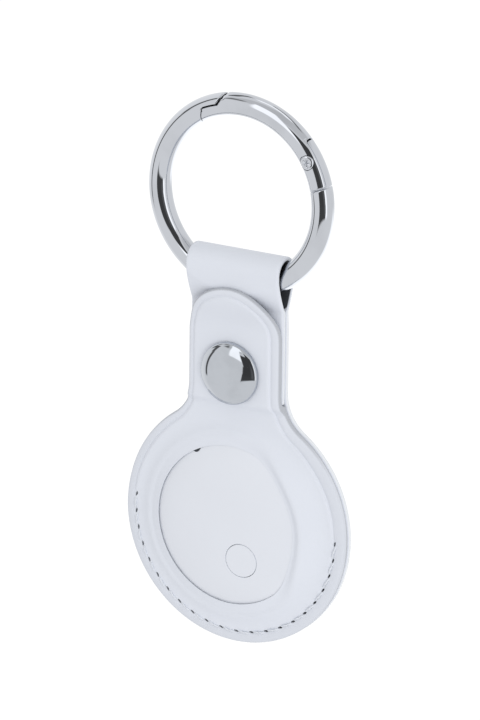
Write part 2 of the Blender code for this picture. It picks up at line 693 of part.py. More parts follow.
def make_stitching(name, side):
    """One side's thread: a raised stitch from slit to slit, dipping into each."""
    places = slit_places()
    surface = PANEL_TOTAL + THREAD_RADIUS + THREAD_LIFT
    top = surface + THREAD_LIFT
    floor = surface - THREAD_DEPTH
    near = THREAD_DIP_SHARE * THREAD_REACH
    dip = ((-THREAD_REACH, surface), (-near, floor), (near, floor), (THREAD_REACH, surface))
    path = []
    for index, (centre, slant) in enumerate(places):
        for along, y in dip:
            spot = centre + slant * along
            path.append((spot.x, side * y, spot.z))
        if index < len(places) - 1:
            after = places[index + 1]
            leave = centre + slant * THREAD_REACH
            arrive = after[0] - after[1] * THREAD_REACH
            spot = leave.lerp(arrive, 0.5)
            path.append((spot.x, side * top, spot.z))
    return tube(name, path, THREAD_RADIUS, THREAD_SIDES, WHITE_THREAD)


def hole_cutter(name, radius):
    """A round hole on the snap's axis, through all the layers."""
    deep = 4 * PANEL_TOTAL
    profile = [(0, -deep), (radius, -deep), (radius, deep), (0, deep)]
    return lathe(name, profile, (0, SNAP_Z), sides=ROUND_SIDES)


def make_panels():
    """Front and back leather with their linings, slit for the stitching."""
    slits = make_slit_cutter()
    lining = (HALF_LINE, HALF_LINE + PANEL_LINING)
    leather = (LEATHER_FROM, PANEL_TOTAL)
    tongue_half = 0.5 * TONGUE_WIDTH
    strap_half = 0.5 * STRAP_WIDTH
    front_top = HINGE_Z - HINGE_GAP - DISC_Z
    back_top = BEND_Z - HINGE_GAP - DISC_Z
    front_radii = spread(WINDOW_RADIUS, FRONT_FOOT_RADIUS, 3) + [FRONT_FOOT_RADIUS]
    back_radii = spread(BACK_FLAT_RADIUS, BACK_FOOT_RADIUS, 4) + [BACK_FOOT_RADIUS]
    front = make_panel("front_panel", -1, leather, front_bulge, front_radii, tongue_half, 0,
                       front_top, WHITE_LEATHER)
    front_lining = make_panel("front_lining", -1, lining, front_bulge, front_radii, tongue_half,
                              LINING_INSET, front_top, GREY_LINING)
    back = make_panel("back_panel", 1, leather, back_bulge, back_radii, strap_half, 0,
                      back_top, WHITE_LEATHER)
    back_lining = make_panel("back_lining", 1, lining, back_bulge, back_radii, strap_half,
                             LINING_INSET, back_top, GREY_LINING)
    for panel in (front, front_lining, back, back_lining):
        cut(panel, slits)
    fill_centre(back, leather)
    fill_centre(back_lining, lining)
    cut(back, hole_cutter("cut_back_post", POST_RADIUS + HOLE_GAP))
    cut(back_lining, hole_cutter("cut_back_stud", STUD_FLANGE_RADIUS + HOLE_GAP))
    return front, front_lining, back, back_lining


def fill_centre(panel, depths):
    """Closes the middle of a panel that has no window."""
    work = bmesh.new()
    work.from_mesh(panel.data)
    inner = BACK_FLAT_RADIUS + HALF_LINE
    wall = [face for face in work.faces
            if all(Vector((vert.co.x, vert.co.z - DISC_Z)).length < inner for vert in face.verts)]
    bmesh.ops.delete(work, geom=wall, context="FACES")
    for depth in depths:
        level = depth + BACK_DOME
        rim = [edge for edge in work.edges
               if edge.is_boundary and all(abs(vert.co.y - level) < HALF_LINE for vert in edge.verts)]
        bmesh.ops.contextual_create(work, geom=rim)
    bmesh.ops.recalc_face_normals(work, faces=work.faces)
    work.to_mesh(panel.data)
    work.free()


# The strap's loop and its end

def loop_half_gap(z):
    """Half the space between the loop's two legs at a height."""
    return HALF_LINE + (LOOP_HALF_GAP - HALF_LINE) * ease((z - BEND_Z) / (BELLY_Z - BEND_Z))


def loop_profile(offset):
    """The loop's path in Y and Z, from the front leg over the ring to the back leg."""
    heights = spread(BEND_Z + HINGE_GAP, BELLY_Z, 7) + [BELLY_Z]
    front = [(-(loop_half_gap(z) + offset), z) for z in heights]
    radius = LOOP_HALF_GAP + offset
    crown = [(-radius * math.cos(angle), LOOP_ROUND_Z + radius * math.sin(angle))
             for angle in spread(0, math.pi, 14) + [math.pi]]
    back = [(-y, z) for y, z in reversed(front)]
    return front + crown + back


def make_loop(name, inner, outer, half_width, look):
    """A folded sheet of the strap, extruded across its width."""
    outline = loop_profile(outer) + loop_profile(inner)[::-1]
    rings = [[(x, y, z) for y, z in outline] for x in (-half_width, half_width)]
    return loft(name, rings, look)


def make_strap_end(name, near, far, half_width, bottom, look):
    """The strap's end between the tongue and the back panel's neck."""
    top = BEND_Z - HINGE_GAP
    outline = [(-half_width, bottom), (half_width, bottom), (half_width, top), (-half_width, top)]
    return prism(name, outline, -far, -near, look)


def make_strap():
    """Loop and end, each with its lining."""
    half_width = 0.5 * STRAP_WIDTH
    lined = HALF_LINE + STRAP_LINING
    leather_from = STRAP_LINING + GLUE_LINE
    loop = make_loop("strap_loop", leather_from, STRAP_TOTAL - HALF_LINE, half_width, WHITE_LEATHER)
    loop_lining = make_loop("strap_loop_lining", 0, STRAP_LINING, half_width - LINING_INSET, GREY_LINING)
    end = make_strap_end("strap_end", lined + GLUE_LINE, STRAP_TOTAL, half_width, STRAP_END_Z,
                         WHITE_LEATHER)
    end_lining = make_strap_end("strap_end_lining", HALF_LINE, lined, half_width - LINING_INSET,
                                STRAP_END_Z + LINING_INSET, GREY_LINING)
    cut(end, hole_cutter("cut_end_socket", SOCKET_RADIUS + SOCKET_HOLE_GAP))
    cut(end_lining, hole_cutter("cut_end_lining_socket", SOCKET_RADIUS + SOCKET_HOLE_GAP))
    return loop, loop_lining, end, end_lining


# The tongue

def tongue_offset(z):
    """How far the tongue stands in front of its place at the hinge."""
    step = TONGUE_STEP * ease((z - HINGE_Z) / TONGUE_STEP_HEIGHT)
    lean_start = BELLY_Z - TONGUE_LEAN_LENGTH
    lean = (LOOP_HALF_GAP - HALF_LINE) * ease((z - lean_start) / TONGUE_LEAN_LENGTH)
    return step + lean


def tongue_rows(inset):
    """Heights and half widths of the tongue, from its hinge to its round tip."""
    half = 0.5 * TONGUE_WIDTH
    round_z = TIP_Z - half
    rows = []
    fillet_top = DISC_Z + math.sqrt((DISC_RADIUS + NECK_FILLET) ** 2 - (half + NECK_FILLET) ** 2)
    first = HINGE_Z + HINGE_GAP
    for z in spread(first, fillet_top, 4) + spread(fillet_top, round_z, 5):
        rows.append((z, tongue_half_width(z, half, inset)))
    last = math.radians(TONGUE_ROUND_DEG)
    for angle in spread(0, last, 12) + [last]:
        rows.append((round_z + (half - inset) * math.sin(angle), (half - inset) * math.cos(angle)))
    return rows


def tongue_half_width(z, half, inset):
    """Half the tongue's width where it flares out to the disc, and above."""
    centre_x = half + NECK_FILLET
    centre_z = DISC_Z + math.sqrt((DISC_RADIUS + NECK_FILLET) ** 2 - centre_x ** 2)
    if z >= centre_z:
        return half - inset
    return centre_x - math.sqrt(NECK_FILLET ** 2 - (centre_z - z) ** 2) - inset


def make_tongue_sheet(name, near, far, inset, look):
    """A sheet of the tongue between two depths."""
    rings = []
    for z, half_width in tongue_rows(inset):
        front_y = -(far + tongue_offset(z))
        back_y = -(near + tongue_offset(z))
        rings.append([(-half_width, front_y, z), (half_width, front_y, z),
                      (half_width, back_y, z), (-half_width, back_y, z)])
    return loft(name, rings, look)


def make_tongue():
    """The front tongue and its lining, holed for the snap."""
    leather = make_tongue_sheet("front_tongue", LEATHER_FROM, PANEL_TOTAL, 0, WHITE_LEATHER)
    lined = HALF_LINE + PANEL_LINING
    lining = make_tongue_sheet("tongue_lining", HALF_LINE, lined, LINING_INSET, GREY_LINING)
    cut(leather, hole_cutter("cut_tongue_shank", SHANK_RADIUS + HOLE_GAP))
    cut(lining, hole_cutter("cut_tongue_socket", SOCKET_RADIUS + HOLE_GAP))
    return leather, lining


# The snap

def make_cap():
    """The domed cap with its shank through the tongue."""
    base = TONGUE_FRONT_Y - SEAT_GAP
    top = base - CAP_RIM_HEIGHT
    rise = CAP_HEIGHT - CAP_RIM_HEIGHT
    crown_radius = CAP_RADIUS - 0.5 * CAP_SHEET
    crown = []
    for share in CAP_CROWN_SHARES:
        crown.append((share * crown_radius, top - rise * (1 - share ** CAP_CROWN_POWER)))
    hollow = CAP_RADIUS - 2 * CAP_SHEET
    shank_end = TONGUE_SEAT_Y + SOCKET_PLATE
    profile = [(0, base - CAP_HEIGHT)] + crown[::-1]
    profile += [(CAP_RADIUS, top + 0.5 * CAP_SHEET), (CAP_RADIUS, base - 0.5 * CAP_SHEET),
                (CAP_RADIUS - 0.5 * CAP_SHEET, base)]
    profile += [(hollow, base), (hollow, top), (CAP_HOLLOW_SHARE * CAP_RADIUS, top - CAP_SHEET)]
    profile += [(SHANK_RADIUS, top - CAP_SHEET), (SHANK_RADIUS, shank_end), (0, shank_end)]
    return lathe("snap_cap", profile, (0, SNAP_Z), CHROME)


def make_socket():
    """The socket behind the tongue, clinched on the cap's shank."""
    front = TONGUE_SEAT_Y + SEAT_GAP
    back = -HALF_LINE - SEAT_GAP
    inside = front + SOCKET_PLATE
    hole = SHANK_RADIUS + 0.5 * HOLE_GAP
    profile = [(hole, front), (SOCKET_RADIUS, front), (SOCKET_RADIUS, back - SOCKET_LIP),
               (SOCKET_RADIUS - SOCKET_LIP, back), (SOCKET_MOUTH_RADIUS, back),
               (SOCKET_MOUTH_RADIUS, back - SOCKET_LIP), (SOCKET_GROOVE_RADIUS, back - SOCKET_LIP),
               (SOCKET_GROOVE_RADIUS, inside), (hole, inside)]
    return lathe("snap_socket", profile, (0, SNAP_Z), STEEL, SMALL_SIDES)


def make_clasp():
    """The open spring ring that grips the stud, in the socket's groove."""
    back = -HALF_LINE - SEAT_GAP - SOCKET_LIP - SEAT_GAP
    rings = []
    front = back - CLASP_WIRE
    outer = CLASP_INNER_RADIUS + CLASP_WIRE
    section = ((CLASP_INNER_RADIUS, front), (outer, front), (outer, back), (CLASP_INNER_RADIUS, back))
    first = 90 + 0.5 * CLASP_GAP_DEG
    last = 450 - 0.5 * CLASP_GAP_DEG
    for degrees in spread(first, last, 20) + [last]:
        angle = math.radians(degrees)
        ring = [(radius * math.cos(angle), y, SNAP_Z + radius * math.sin(angle)) for radius, y in section]
        rings.append(ring)
    return loft("snap_clasp_spring", rings, SPRING_STEEL)


def make_stud():
    """The stud on the back panel's neck, hollow for the post."""
    flange_back = LEATHER_FROM - SEAT_GAP
    flange_front = -HALF_LINE + 2 * SEAT_GAP
    waist = 0.5 * (KNOB_TOP_Y + flange_front)
    profile = [(0, KNOB_TOP_Y), (STUD_NECK_RADIUS, KNOB_TOP_Y)]
    for share in STUD_BULGE_SHARES:
        profile.append((STUD_KNOB_RADIUS, waist + share * (KNOB_TOP_Y - waist)))
    profile += [(STUD_NECK_RADIUS, flange_front), (STUD_FLANGE_RADIUS, flange_front),
                (STUD_FLANGE_RADIUS, flange_back), (STUD_HOLLOW_RADIUS, flange_back),
                (STUD_HOLLOW_RADIUS, KNOB_TOP_Y + STUD_CROWN), (0, KNOB_TOP_Y + STUD_CROWN)]
    return lathe("snap_stud", profile, (0, SNAP_Z), STEEL, SMALL_SIDES)


def make_post():
    """The rivet post from the back face into the stud."""
    seat = PANEL_TOTAL + SEAT_GAP
    tip = KNOB_TOP_Y + STUD_CROWN + SEAT_GAP
    profile = [(0, tip), (POST_RADIUS, tip), (POST_RADIUS, seat), (POST_HEAD_RADIUS, seat)]
    for out_share, up_share in POST_HEAD_SHARES:
        profile.append((out_share * POST_HEAD_RADIUS, seat + up_share * POST_HEAD_HEIGHT))
    profile.append((0, seat + POST_HEAD_HEIGHT))
    return lathe("snap_post", profile, (0, SNAP_Z), CHROME, SMALL_SIDES)


# The tracker tag

def front_profile(radius, depth, power):
    """A rounded dome from the axis to its edge, as radius and height shares."""
    points = [(share * radius, depth * (1 - share ** power) ** (1 / power)) for share in TAG_DOME_SHARES]
    return points + [(radius, 0)]


def make_front_shell():
    """The tag's white front shell, with a hole for its button."""
    outer = front_profile(TAG_RADIUS, TAG_FRONT_DEPTH, TAG_FRONT_POWER)
    inner = front_profile(TAG_RADIUS - TAG_WALL, TAG_FRONT_DEPTH - TAG_WALL, TAG_FRONT_POWER)
    profile = [(radius, TAG_SEAM_Y - height) for radius, height in outer]
    profile += [(radius, TAG_SEAM_Y - height) for radius, height in reversed(inner)]
    shell = lathe("tag_front_shell", profile, (0, DISC_Z), WHITE_PLASTIC)
    hole = BUTTON_RADIUS + BUTTON_GAP
    opening = [(0, TAG_FRONT_Y - CUT_OVERRUN), (hole, TAG_FRONT_Y - CUT_OVERRUN),
               (hole, TAG_SEAM_Y), (0, TAG_SEAM_Y)]
    cut(shell, lathe("cut_button_hole", opening, (BUTTON_RIGHT, BUTTON_Z), sides=SMALL_SIDES))
    return shell


def make_button():
    """The press button, its face following the shell's dome, with a flange inside."""
    plate_back = TAG_FRONT_Y + BUTTON_DEPTH
    flange_front = TAG_FRONT_Y + FLANGE_DEPTH
    wide = BUTTON_RADIUS + BUTTON_FLANGE_WIDTH
    profile = [(0, TAG_FRONT_Y - CUT_OVERRUN), (BUTTON_RADIUS, TAG_FRONT_Y - CUT_OVERRUN),
               (BUTTON_RADIUS, flange_front), (wide, flange_front), (wide, plate_back), (0, plate_back)]
    button = lathe("tag_button", profile, (BUTTON_RIGHT, BUTTON_Z), WHITE_PLASTIC, SMALL_SIDES)
    outer = front_profile(TAG_RADIUS, TAG_FRONT_DEPTH, TAG_FRONT_POWER)
    core = [(radius, TAG_SEAM_Y - height) for radius, height in outer]
    cut(button, lathe("cut_button_dome", core + [(0, TAG_SEAM_Y)], (0, DISC_Z)), "INTERSECT")
    return button


def make_cover():
    """The tag's steel back cover, a shallow dish."""
    seam = TAG_SEAM_Y + TAG_SEAM_GAP
    depth = TAG_BACK_Y - seam
    flat = COVER_RADIUS - COVER_SHOULDER
    outer = []
    inner = []
    for share in COVER_DISH_SHARES:
        height = (1 - share ** COVER_POWER) ** (1 / COVER_POWER)
        outer.append((flat + COVER_SHOULDER * share, seam + depth * height))
        inner.append((flat + (COVER_SHOULDER - COVER_WALL) * share, seam + (depth - COVER_WALL) * height))
    profile = [(0, TAG_BACK_Y)] + outer + inner[::-1] + [(0, TAG_BACK_Y - COVER_WALL)]
    return lathe("tag_back_cover", profile, (0, DISC_Z), STEEL)


def make_seal():
    """The rubber seal between shell and cover."""
    centre_y = TAG_SEAM_Y + TAG_SEAM_GAP
    rings = []
    for step in range(ROUND_SIDES):
        angle = math.tau * step / ROUND_SIDES
        ring = []
        for side in range(SEAL_SIDES):
            turn = math.tau * (side + 0.5) / SEAL_SIDES
            radius = SEAL_RADIUS + SEAL_WIRE_RADIUS * math.cos(turn)
            ring.append((radius * math.cos(angle), centre_y + SEAL_WIRE_RADIUS * math.sin(turn),
                         DISC_Z + radius * math.sin(angle)))
        rings.append(ring)
    return loft("tag_seal", rings, RUBBER_BLACK, closed=True)


def box(name, centre, size, look=None):
    """A box from its centre and its size."""
    half_x, half_y, half_z = (0.5 * length for length in size)
    x, y, z = centre
    corners = ((-1, -1), (1, -1), (1, 1), (-1, 1))
    outline = [(x + across * half_x, z + up * half_z) for across, up in corners]
    return prism(name, outline, y - half_y, y + half_y, look)


def disc(name, radius, front, back, centre, look, sides=ROUND_SIDES):
    """A plain disc between two planes of Y."""
    return lathe(name, [(0, front), (radius, front), (radius, back), (0, back)], centre, look, sides)


def make_insides():
    """Board, switch, sounder, chip, tray, battery and its contacts, stacked from the button back."""
    board_front = TAG_FRONT_Y + STACK_FRONT
    board_back = board_front + BOARD_THICKNESS
    parts_back = board_front - STACK_GAP
    parts_front = parts_back - FRONT_PARTS_HEIGHT
    parts_middle = 0.5 * (parts_front + parts_back)
    battery_front = board_back + CONTACT_ROOM
    battery_back = battery_front + BATTERY_THICKNESS
    board = disc("tag_circuit_board", BOARD_RADIUS, board_front, board_back, (0, DISC_Z), BOARD_GREEN)
    switch = box("tag_button_switch", (BUTTON_RIGHT, parts_middle, BUTTON_Z),
                 (SWITCH_SIZE, FRONT_PARTS_HEIGHT, SWITCH_SIZE), CHIP_BLACK)
    sounder = disc("tag_sounder", SOUNDER_RADIUS, parts_front, parts_back,
                   (-SOUNDER_LEFT, DISC_Z + SOUNDER_UP), GOLD, SMALL_SIDES)
    chip = box("tag_radio_chip", (CHIP_X, parts_middle, DISC_Z + CHIP_UP),
               (CHIP_SIZE, FRONT_PARTS_HEIGHT, CHIP_SIZE), CHIP_BLACK)
    tray_inner = BATTERY_RADIUS + TRAY_GAP
    tray_outer = tray_inner + TRAY_WALL
    tray_front = board_back + STACK_GAP
    tray_back = battery_back - STACK_GAP
    tray_profile = [(tray_inner, tray_front), (tray_outer, tray_front),
                    (tray_outer, tray_back), (tray_inner, tray_back)]
    tray = lathe("tag_battery_tray", tray_profile, (0, DISC_Z), CLEAR_GREY)
    face = BATTERY_RADIUS - BATTERY_CHAMFER
    battery = lathe("tag_battery", [(0, battery_front), (face, battery_front),
                                    (BATTERY_RADIUS, battery_front + BATTERY_CHAMFER),
                                    (BATTERY_RADIUS, battery_back - BATTERY_CHAMFER),
                                    (face, battery_back), (0, battery_back)], (0, DISC_Z), STEEL)
    front_middle = board_back + 0.5 * CONTACT_ROOM
    front_contact = box("tag_front_contact", (0, front_middle, DISC_Z),
                        (FRONT_CONTACT_LENGTH, CONTACT_ROOM - 2 * STACK_GAP, CONTACT_WIDTH), GOLD)
    back_middle = battery_back + STACK_GAP + 0.5 * CONTACT_THICKNESS
    back_contact = box("tag_back_contact", (0, back_middle, DISC_Z),
                       (BACK_CONTACT_LENGTH, CONTACT_THICKNESS, CONTACT_WIDTH), GOLD)
    return board, switch, sounder, chip, tray, battery, front_contact, back_contact


def build():
    """Makes every piece and hangs the moving ones on their joints."""
    for old in list(bpy.data.objects):
        bpy.data.objects.remove(old, do_unlink=True)
    ring_pivot = make_pivot("pivot_ring_turn", (0, 0, RING_Z))
    gate_pivot = make_pivot("pivot_gate", (PIN_X, 0, PIN_Z))
    bend_pivot = make_pivot("pivot_strap_bend", (0, PANEL_TOTAL, BEND_Z))
    tongue_pivot = make_pivot("pivot_tongue", (0, -PANEL_TOTAL, HINGE_Z))
    tag_pivot = make_pivot("pivot_tag_turn", (0, 0, DISC_Z))
    button_pivot = make_pivot("pivot_button", (BUTTON_RIGHT, 0, BUTTON_Z))
    bpy.context.view_layer.update()
    carry(bend_pivot, ring_pivot)
    carry(tongue_pivot, bend_pivot)
    carry(tag_pivot, bend_pivot)
    carry(button_pivot, tag_pivot)
    make_ring_body()
    make_pin()
    for piece in (make_gate(), make_plunger(), make_gate_spring()):
        carry(piece, gate_pivot)
    loop, loop_lining, end, end_lining = make_strap()
    for piece in (loop, loop_lining):
        carry(piece, ring_pivot)
    held = [end, end_lining, make_stud(), make_post()]
    held += list(make_panels())
    held += [make_stitching("stitching_front", -1), make_stitching("stitching_back", 1)]
    for piece in held:
        carry(piece, bend_pivot)
    for piece in list(make_tongue()) + [make_cap(), make_socket(), make_clasp()]:
        carry(piece, tongue_pivot)
    for piece in [make_front_shell(), make_cover(), make_seal()] + list(make_insides()):
        carry(piece, tag_pivot)
    carry(make_button(), button_pivot)


build()
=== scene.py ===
# Tracker tag holder: the looks of a white leather pouch for a round tag, hung from a spring gate ring.
# Metres, +Z up, the front faces -Y. The file goes from the setting and the ring down to the tag's insides.

import json
import math

import bmesh
import bpy
import numpy as np
from mathutils import Matrix, Vector
from mathutils.geometry import delaunay_2d_cdt


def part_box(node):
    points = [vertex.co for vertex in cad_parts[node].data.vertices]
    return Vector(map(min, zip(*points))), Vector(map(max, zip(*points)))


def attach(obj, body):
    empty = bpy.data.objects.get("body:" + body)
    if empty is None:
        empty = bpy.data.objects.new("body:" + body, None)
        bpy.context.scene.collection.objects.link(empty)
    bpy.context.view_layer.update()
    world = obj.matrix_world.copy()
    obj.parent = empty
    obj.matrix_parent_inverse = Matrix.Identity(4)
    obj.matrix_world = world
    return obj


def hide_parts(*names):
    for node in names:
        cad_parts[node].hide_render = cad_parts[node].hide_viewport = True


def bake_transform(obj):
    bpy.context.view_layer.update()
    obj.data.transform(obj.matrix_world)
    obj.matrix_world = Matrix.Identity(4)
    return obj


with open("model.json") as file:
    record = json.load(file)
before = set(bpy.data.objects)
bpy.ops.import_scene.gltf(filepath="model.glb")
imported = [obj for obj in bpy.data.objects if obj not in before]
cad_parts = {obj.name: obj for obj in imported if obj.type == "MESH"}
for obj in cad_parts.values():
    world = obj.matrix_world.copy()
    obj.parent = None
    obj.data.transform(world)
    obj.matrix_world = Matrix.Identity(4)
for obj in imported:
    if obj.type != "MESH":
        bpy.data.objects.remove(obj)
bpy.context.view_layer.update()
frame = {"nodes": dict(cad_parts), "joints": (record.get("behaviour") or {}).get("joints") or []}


# The setting
# A pale floor far under the holder, which hangs in the air as on a shop photograph, and a camera far off
# with a long lens, 30 degrees to the right of the front and 18 degrees up.

mm = 0.001
joint_place = {joint["name"]: Vector(joint["pos_m"]) for joint in frame["joints"] if "pos_m" in joint}
pouch_z = joint_place["tag_turn"].z

CAMERA_AZIMUTH = math.radians(30.225)
CAMERA_ELEVATION = math.radians(17.992)
CAMERA_ROLL = math.radians(0.563)
CAMERA_DISTANCE = 1000 * mm
CAMERA_AIM = Vector((0, -1.25 * mm, pouch_z + 30 * mm))
PICTURE_WIDTH = 480
PICTURE_HEIGHT = 720
AIM_PIXEL = (235.822, 355.761)
PIXELS_PER_MM = 5.912
SENSOR_WIDTH = 36
CLIP_START, CLIP_END = 0.01, 30


def make_camera():
    """The camera, with the aimed point at its pixel of the photograph."""
    azimuth, elevation, roll = CAMERA_AZIMUTH, CAMERA_ELEVATION, CAMERA_ROLL
    back = Vector((math.sin(azimuth) * math.cos(elevation), -math.cos(azimuth) * math.cos(elevation),
                   math.sin(elevation)))
    level = Vector((math.cos(azimuth), math.sin(azimuth), 0))
    upright = back.cross(level)
    right = math.cos(roll) * level + math.sin(roll) * upright
    up = back.cross(right)
    data = bpy.data.cameras.new("camera")
    data.sensor_fit = "HORIZONTAL"
    data.sensor_width = SENSOR_WIDTH
    data.lens = PIXELS_PER_MM / mm * CAMERA_DISTANCE / PICTURE_WIDTH * SENSOR_WIDTH
    data.shift_x = (0.5 * PICTURE_WIDTH - AIM_PIXEL[0]) / PICTURE_WIDTH
    data.shift_y = (AIM_PIXEL[1] - 0.5 * PICTURE_HEIGHT) / PICTURE_WIDTH
    data.clip_start = CLIP_START
    data.clip_end = CLIP_END
    camera = bpy.data.objects.new("camera", data)
    turn = Matrix((right, up, back)).transposed().to_4x4()
    camera.matrix_world = Matrix.Translation(CAMERA_AIM + back * CAMERA_DISTANCE) @ turn
    bpy.context.scene.collection.objects.link(camera)
    bpy.context.scene.camera = camera


make_camera()
bpy.context.scene.view_settings.view_transform = "Standard"


def add_node(material, kind, links=(), **values):
    """A shader node with its properties set, and its inputs set or linked by name or number."""
    tree = material.node_tree
    node = tree.nodes.new("ShaderNode" + kind)
    for name, value in values.items():
        setattr(node, name, value)
    for key, value in dict(links).items():
        if isinstance(value, bpy.types.NodeSocket):
            tree.links.new(value, node.inputs[key])
        else:
            node.inputs[key].default_value = value
    return node


def math_node(material, operation, first, second=0.0):
    """One sum of two values, as a socket."""
    return add_node(material, "Math", {0: first, 1: second}, operation=operation).outputs[0]


def soft_step(material, value, low, high):
    """A socket that rises smoothly from 0 at low to 1 at high."""
    node = add_node(material, "MapRange", {0: value, 1: low, 2: high}, interpolation_type="SMOOTHSTEP")
    return node.outputs[0]


def make_new_material(name):
    """A material with an empty Principled shader, and that shader."""
    material = bpy.data.materials.new(name)
    material.use_nodes = True
    return material, material.node_tree.nodes["Principled BSDF"]


def two_tone(material, pattern, tint, low_share, high_share=1.0, low_end=0.0, high_end=1.0):
    """A socket with a tint at two strengths, and between them as a pattern's value rises."""
    ramp = add_node(material, "ValToRGB", {0: pattern})
    low, high = ramp.color_ramp.elements
    low.position, high.position = low_end, high_end
    low.color = (*[low_share * part for part in tint], 1)
    high.color = (*[high_share * part for part in tint], 1)
    return ramp.outputs[0]


def finish_shader(material, shader, colour, roughness, normal):
    """Links a shader's colour, roughness and bumps."""
    for name, socket in (("Base Color", colour), ("Roughness", roughness), ("Normal", normal)):
        material.node_tree.links.new(socket, shader.inputs[name])


# The room that the bright metal mirrors, as cards in degrees: azimuth from the front towards the right,
# elevation, half sizes, how soft the rim is, how bright it is, and how far it leans for each degree up.
ROOM_LEVEL = 1.0
SOFT_LIGHT_LEVEL = 0.91
ROOM_CARDS = {
    "back_wall": (180, -50, 40, 32, 6, 1.55, 0),
    "left_wall": (-108, 0, 28, 45, 8, 1.10, 0),
    "ceiling": (35, 68, 105, 26, 5, 0.78, 0),
    "dark_foot": (26, -16, 31, 5.5, 1.5, 0.08, 0.8),
    "dark_low": (30, -4, 26.5, 9, 2, 0.07, 0.5),
    "dark_high": (32, 19, 23, 17, 2, 0.07, -0.1),
    "dark_right": (47, 2, 7, 20, 4, 0.15, 0),
    "bright_right": (64, 5, 7, 26, 2.5, 1.65, 0),
    "bright_left": (-9, 35, 15.5, 20, 2.5, 1.70, -0.1),
    "left_strip": (-66, -2, 5, 19, 2, 0.12, 0),
    "left_strip_high": (-69, 29, 6, 14, 2, 0.15, 0),
    "left_strip_top": (-50, 47, 14, 4.5, 2.5, 0.25, 0),
    "top_line": (-118, 56, 24, 5, 3, 0.15, 0),
    "top_line_back": (150, 57, 36, 3.5, 2.5, 0.20, 0),
    "top_white": (170, 69, 50, 5, 3, 1.60, 0),
}


def make_world():
    """Plain soft light on the object, white for the camera, and the card room for mirror rays."""
    world = bpy.data.worlds.new("studio")
    bpy.context.scene.world = world
    world.use_nodes = True
    world.cycles.sampling_method = "NONE"
    tree = world.node_tree
    where = add_node(world, "TexCoord")
    parts = add_node(world, "SeparateXYZ", {0: where.outputs["Generated"]})
    away = math_node(world, "MULTIPLY", parts.outputs["Y"], -1.0)
    azimuth = math_node(world, "DEGREES", math_node(world, "ARCTAN2", parts.outputs["X"], away))
    elevation = math_node(world, "DEGREES", math_node(world, "ARCSINE", parts.outputs["Z"]))
    level = math_node(world, "ADD", ROOM_LEVEL)
    for centre, height, half_wide, half_high, rim, brightness, lean in ROOM_CARDS.values():
        above = math_node(world, "SUBTRACT", elevation, height)
        upright = math_node(world, "SUBTRACT", azimuth, math_node(world, "MULTIPLY", above, lean))
        turned = math_node(world, "WRAP", math_node(world, "SUBTRACT", upright, centre), 180.0)
        turned.node.inputs[2].default_value = -180.0
        across = math_node(world, "ABSOLUTE", turned)
        along = math_node(world, "ABSOLUTE", above)
        inside = math_node(world, "MULTIPLY", soft_step(world, across, half_wide + rim, half_wide - rim),
                           soft_step(world, along, half_high + rim, half_high - rim))
        blend = add_node(world, "Mix", {0: inside, 2: level, 3: brightness})
        level = blend.outputs[0]
    path = add_node(world, "LightPath")
    mirror = add_node(world, "Mix", {0: path.outputs["Is Glossy Ray"], 2: SOFT_LIGHT_LEVEL, 3: level})
    clear = math_node(world, "MAXIMUM", path.outputs["Is Camera Ray"], path.outputs["Is Transmission Ray"])
    seen = add_node(world, "Mix", {0: clear, 2: mirror.outputs[0], 3: 1.0})
    background = tree.nodes["Background"]
    tree.links.new(seen.outputs[0], background.inputs["Strength"])
    background.inputs["Color"].default_value = (1, 1, 1, 1)


make_world()

KEY_LIGHT_FROM = Vector((0.66, -0.60, -0.02))
KEY_LIGHT_SIZE = 0.45
KEY_LIGHT_WATTS = 1.7


def make_key_light():
    """One large soft lamp from the right, that models the dome and the creases."""
    data = bpy.data.lights.new("key_light", "AREA")
    data.size = KEY_LIGHT_SIZE
    data.energy = KEY_LIGHT_WATTS
    lamp = bpy.data.objects.new("key_light", data)
    lamp.location = CAMERA_AIM + KEY_LIGHT_FROM
    lamp.rotation_euler = KEY_LIGHT_FROM.to_track_quat("Z", "Y").to_euler()
    lamp.visible_glossy = False
    bpy.context.scene.collection.objects.link(lamp)


make_key_light()

FLOOR_Z = -0.40
FLOOR_HALF = 6.0
FLOOR_GREY = (0.82, 0.82, 0.83, 1)
FLOOR_HALF_GREY = (0.5, 0.5, 0.5, 1)
FLOOR_GLOW = 0.6


def make_floor():
    """The pale floor: white to the camera and in mirrors, and it keeps the holder's shadow."""
    mesh = bpy.data.meshes.new("floor")
    corners = [(-FLOOR_HALF, -FLOOR_HALF, FLOOR_Z), (FLOOR_HALF, -FLOOR_HALF, FLOOR_Z),
               (FLOOR_HALF, FLOOR_HALF, FLOOR_Z), (-FLOOR_HALF, FLOOR_HALF, FLOOR_Z)]
    mesh.from_pydata(corners, [], [(0, 1, 2, 3)])
    floor = bpy.data.objects.new("floor", mesh)
    bpy.context.scene.collection.objects.link(floor)
    material, shader = make_new_material("floor_paint")
    shader.inputs["Base Color"].default_value = FLOOR_GREY
    shader.inputs["Roughness"].default_value = 0.9
    shader.inputs["Specular IOR Level"].default_value = 0.0
    path = add_node(material, "LightPath")
    clear = math_node(material, "MAXIMUM", path.outputs["Is Camera Ray"], path.outputs["Is Glossy Ray"])
    clear = math_node(material, "MAXIMUM", clear, path.outputs["Is Transmission Ray"])
    half = add_node(material, "BsdfDiffuse", {"Color": FLOOR_HALF_GREY})
    glow = add_node(material, "Emission", {"Color": (1, 1, 1, 1), "Strength": FLOOR_GLOW})
    both = add_node(material, "AddShader", {0: half.outputs[0], 1: glow.outputs[0]})
    pick = add_node(material, "MixShader", {0: clear, 1: shader.outputs[0], 2: both.outputs[0]})
    material.node_tree.links.new(pick.outputs[0], material.node_tree.nodes["Material Output"].inputs[0])
    mesh.materials.append(material)
    floor.visible_glossy = False


make_floor()


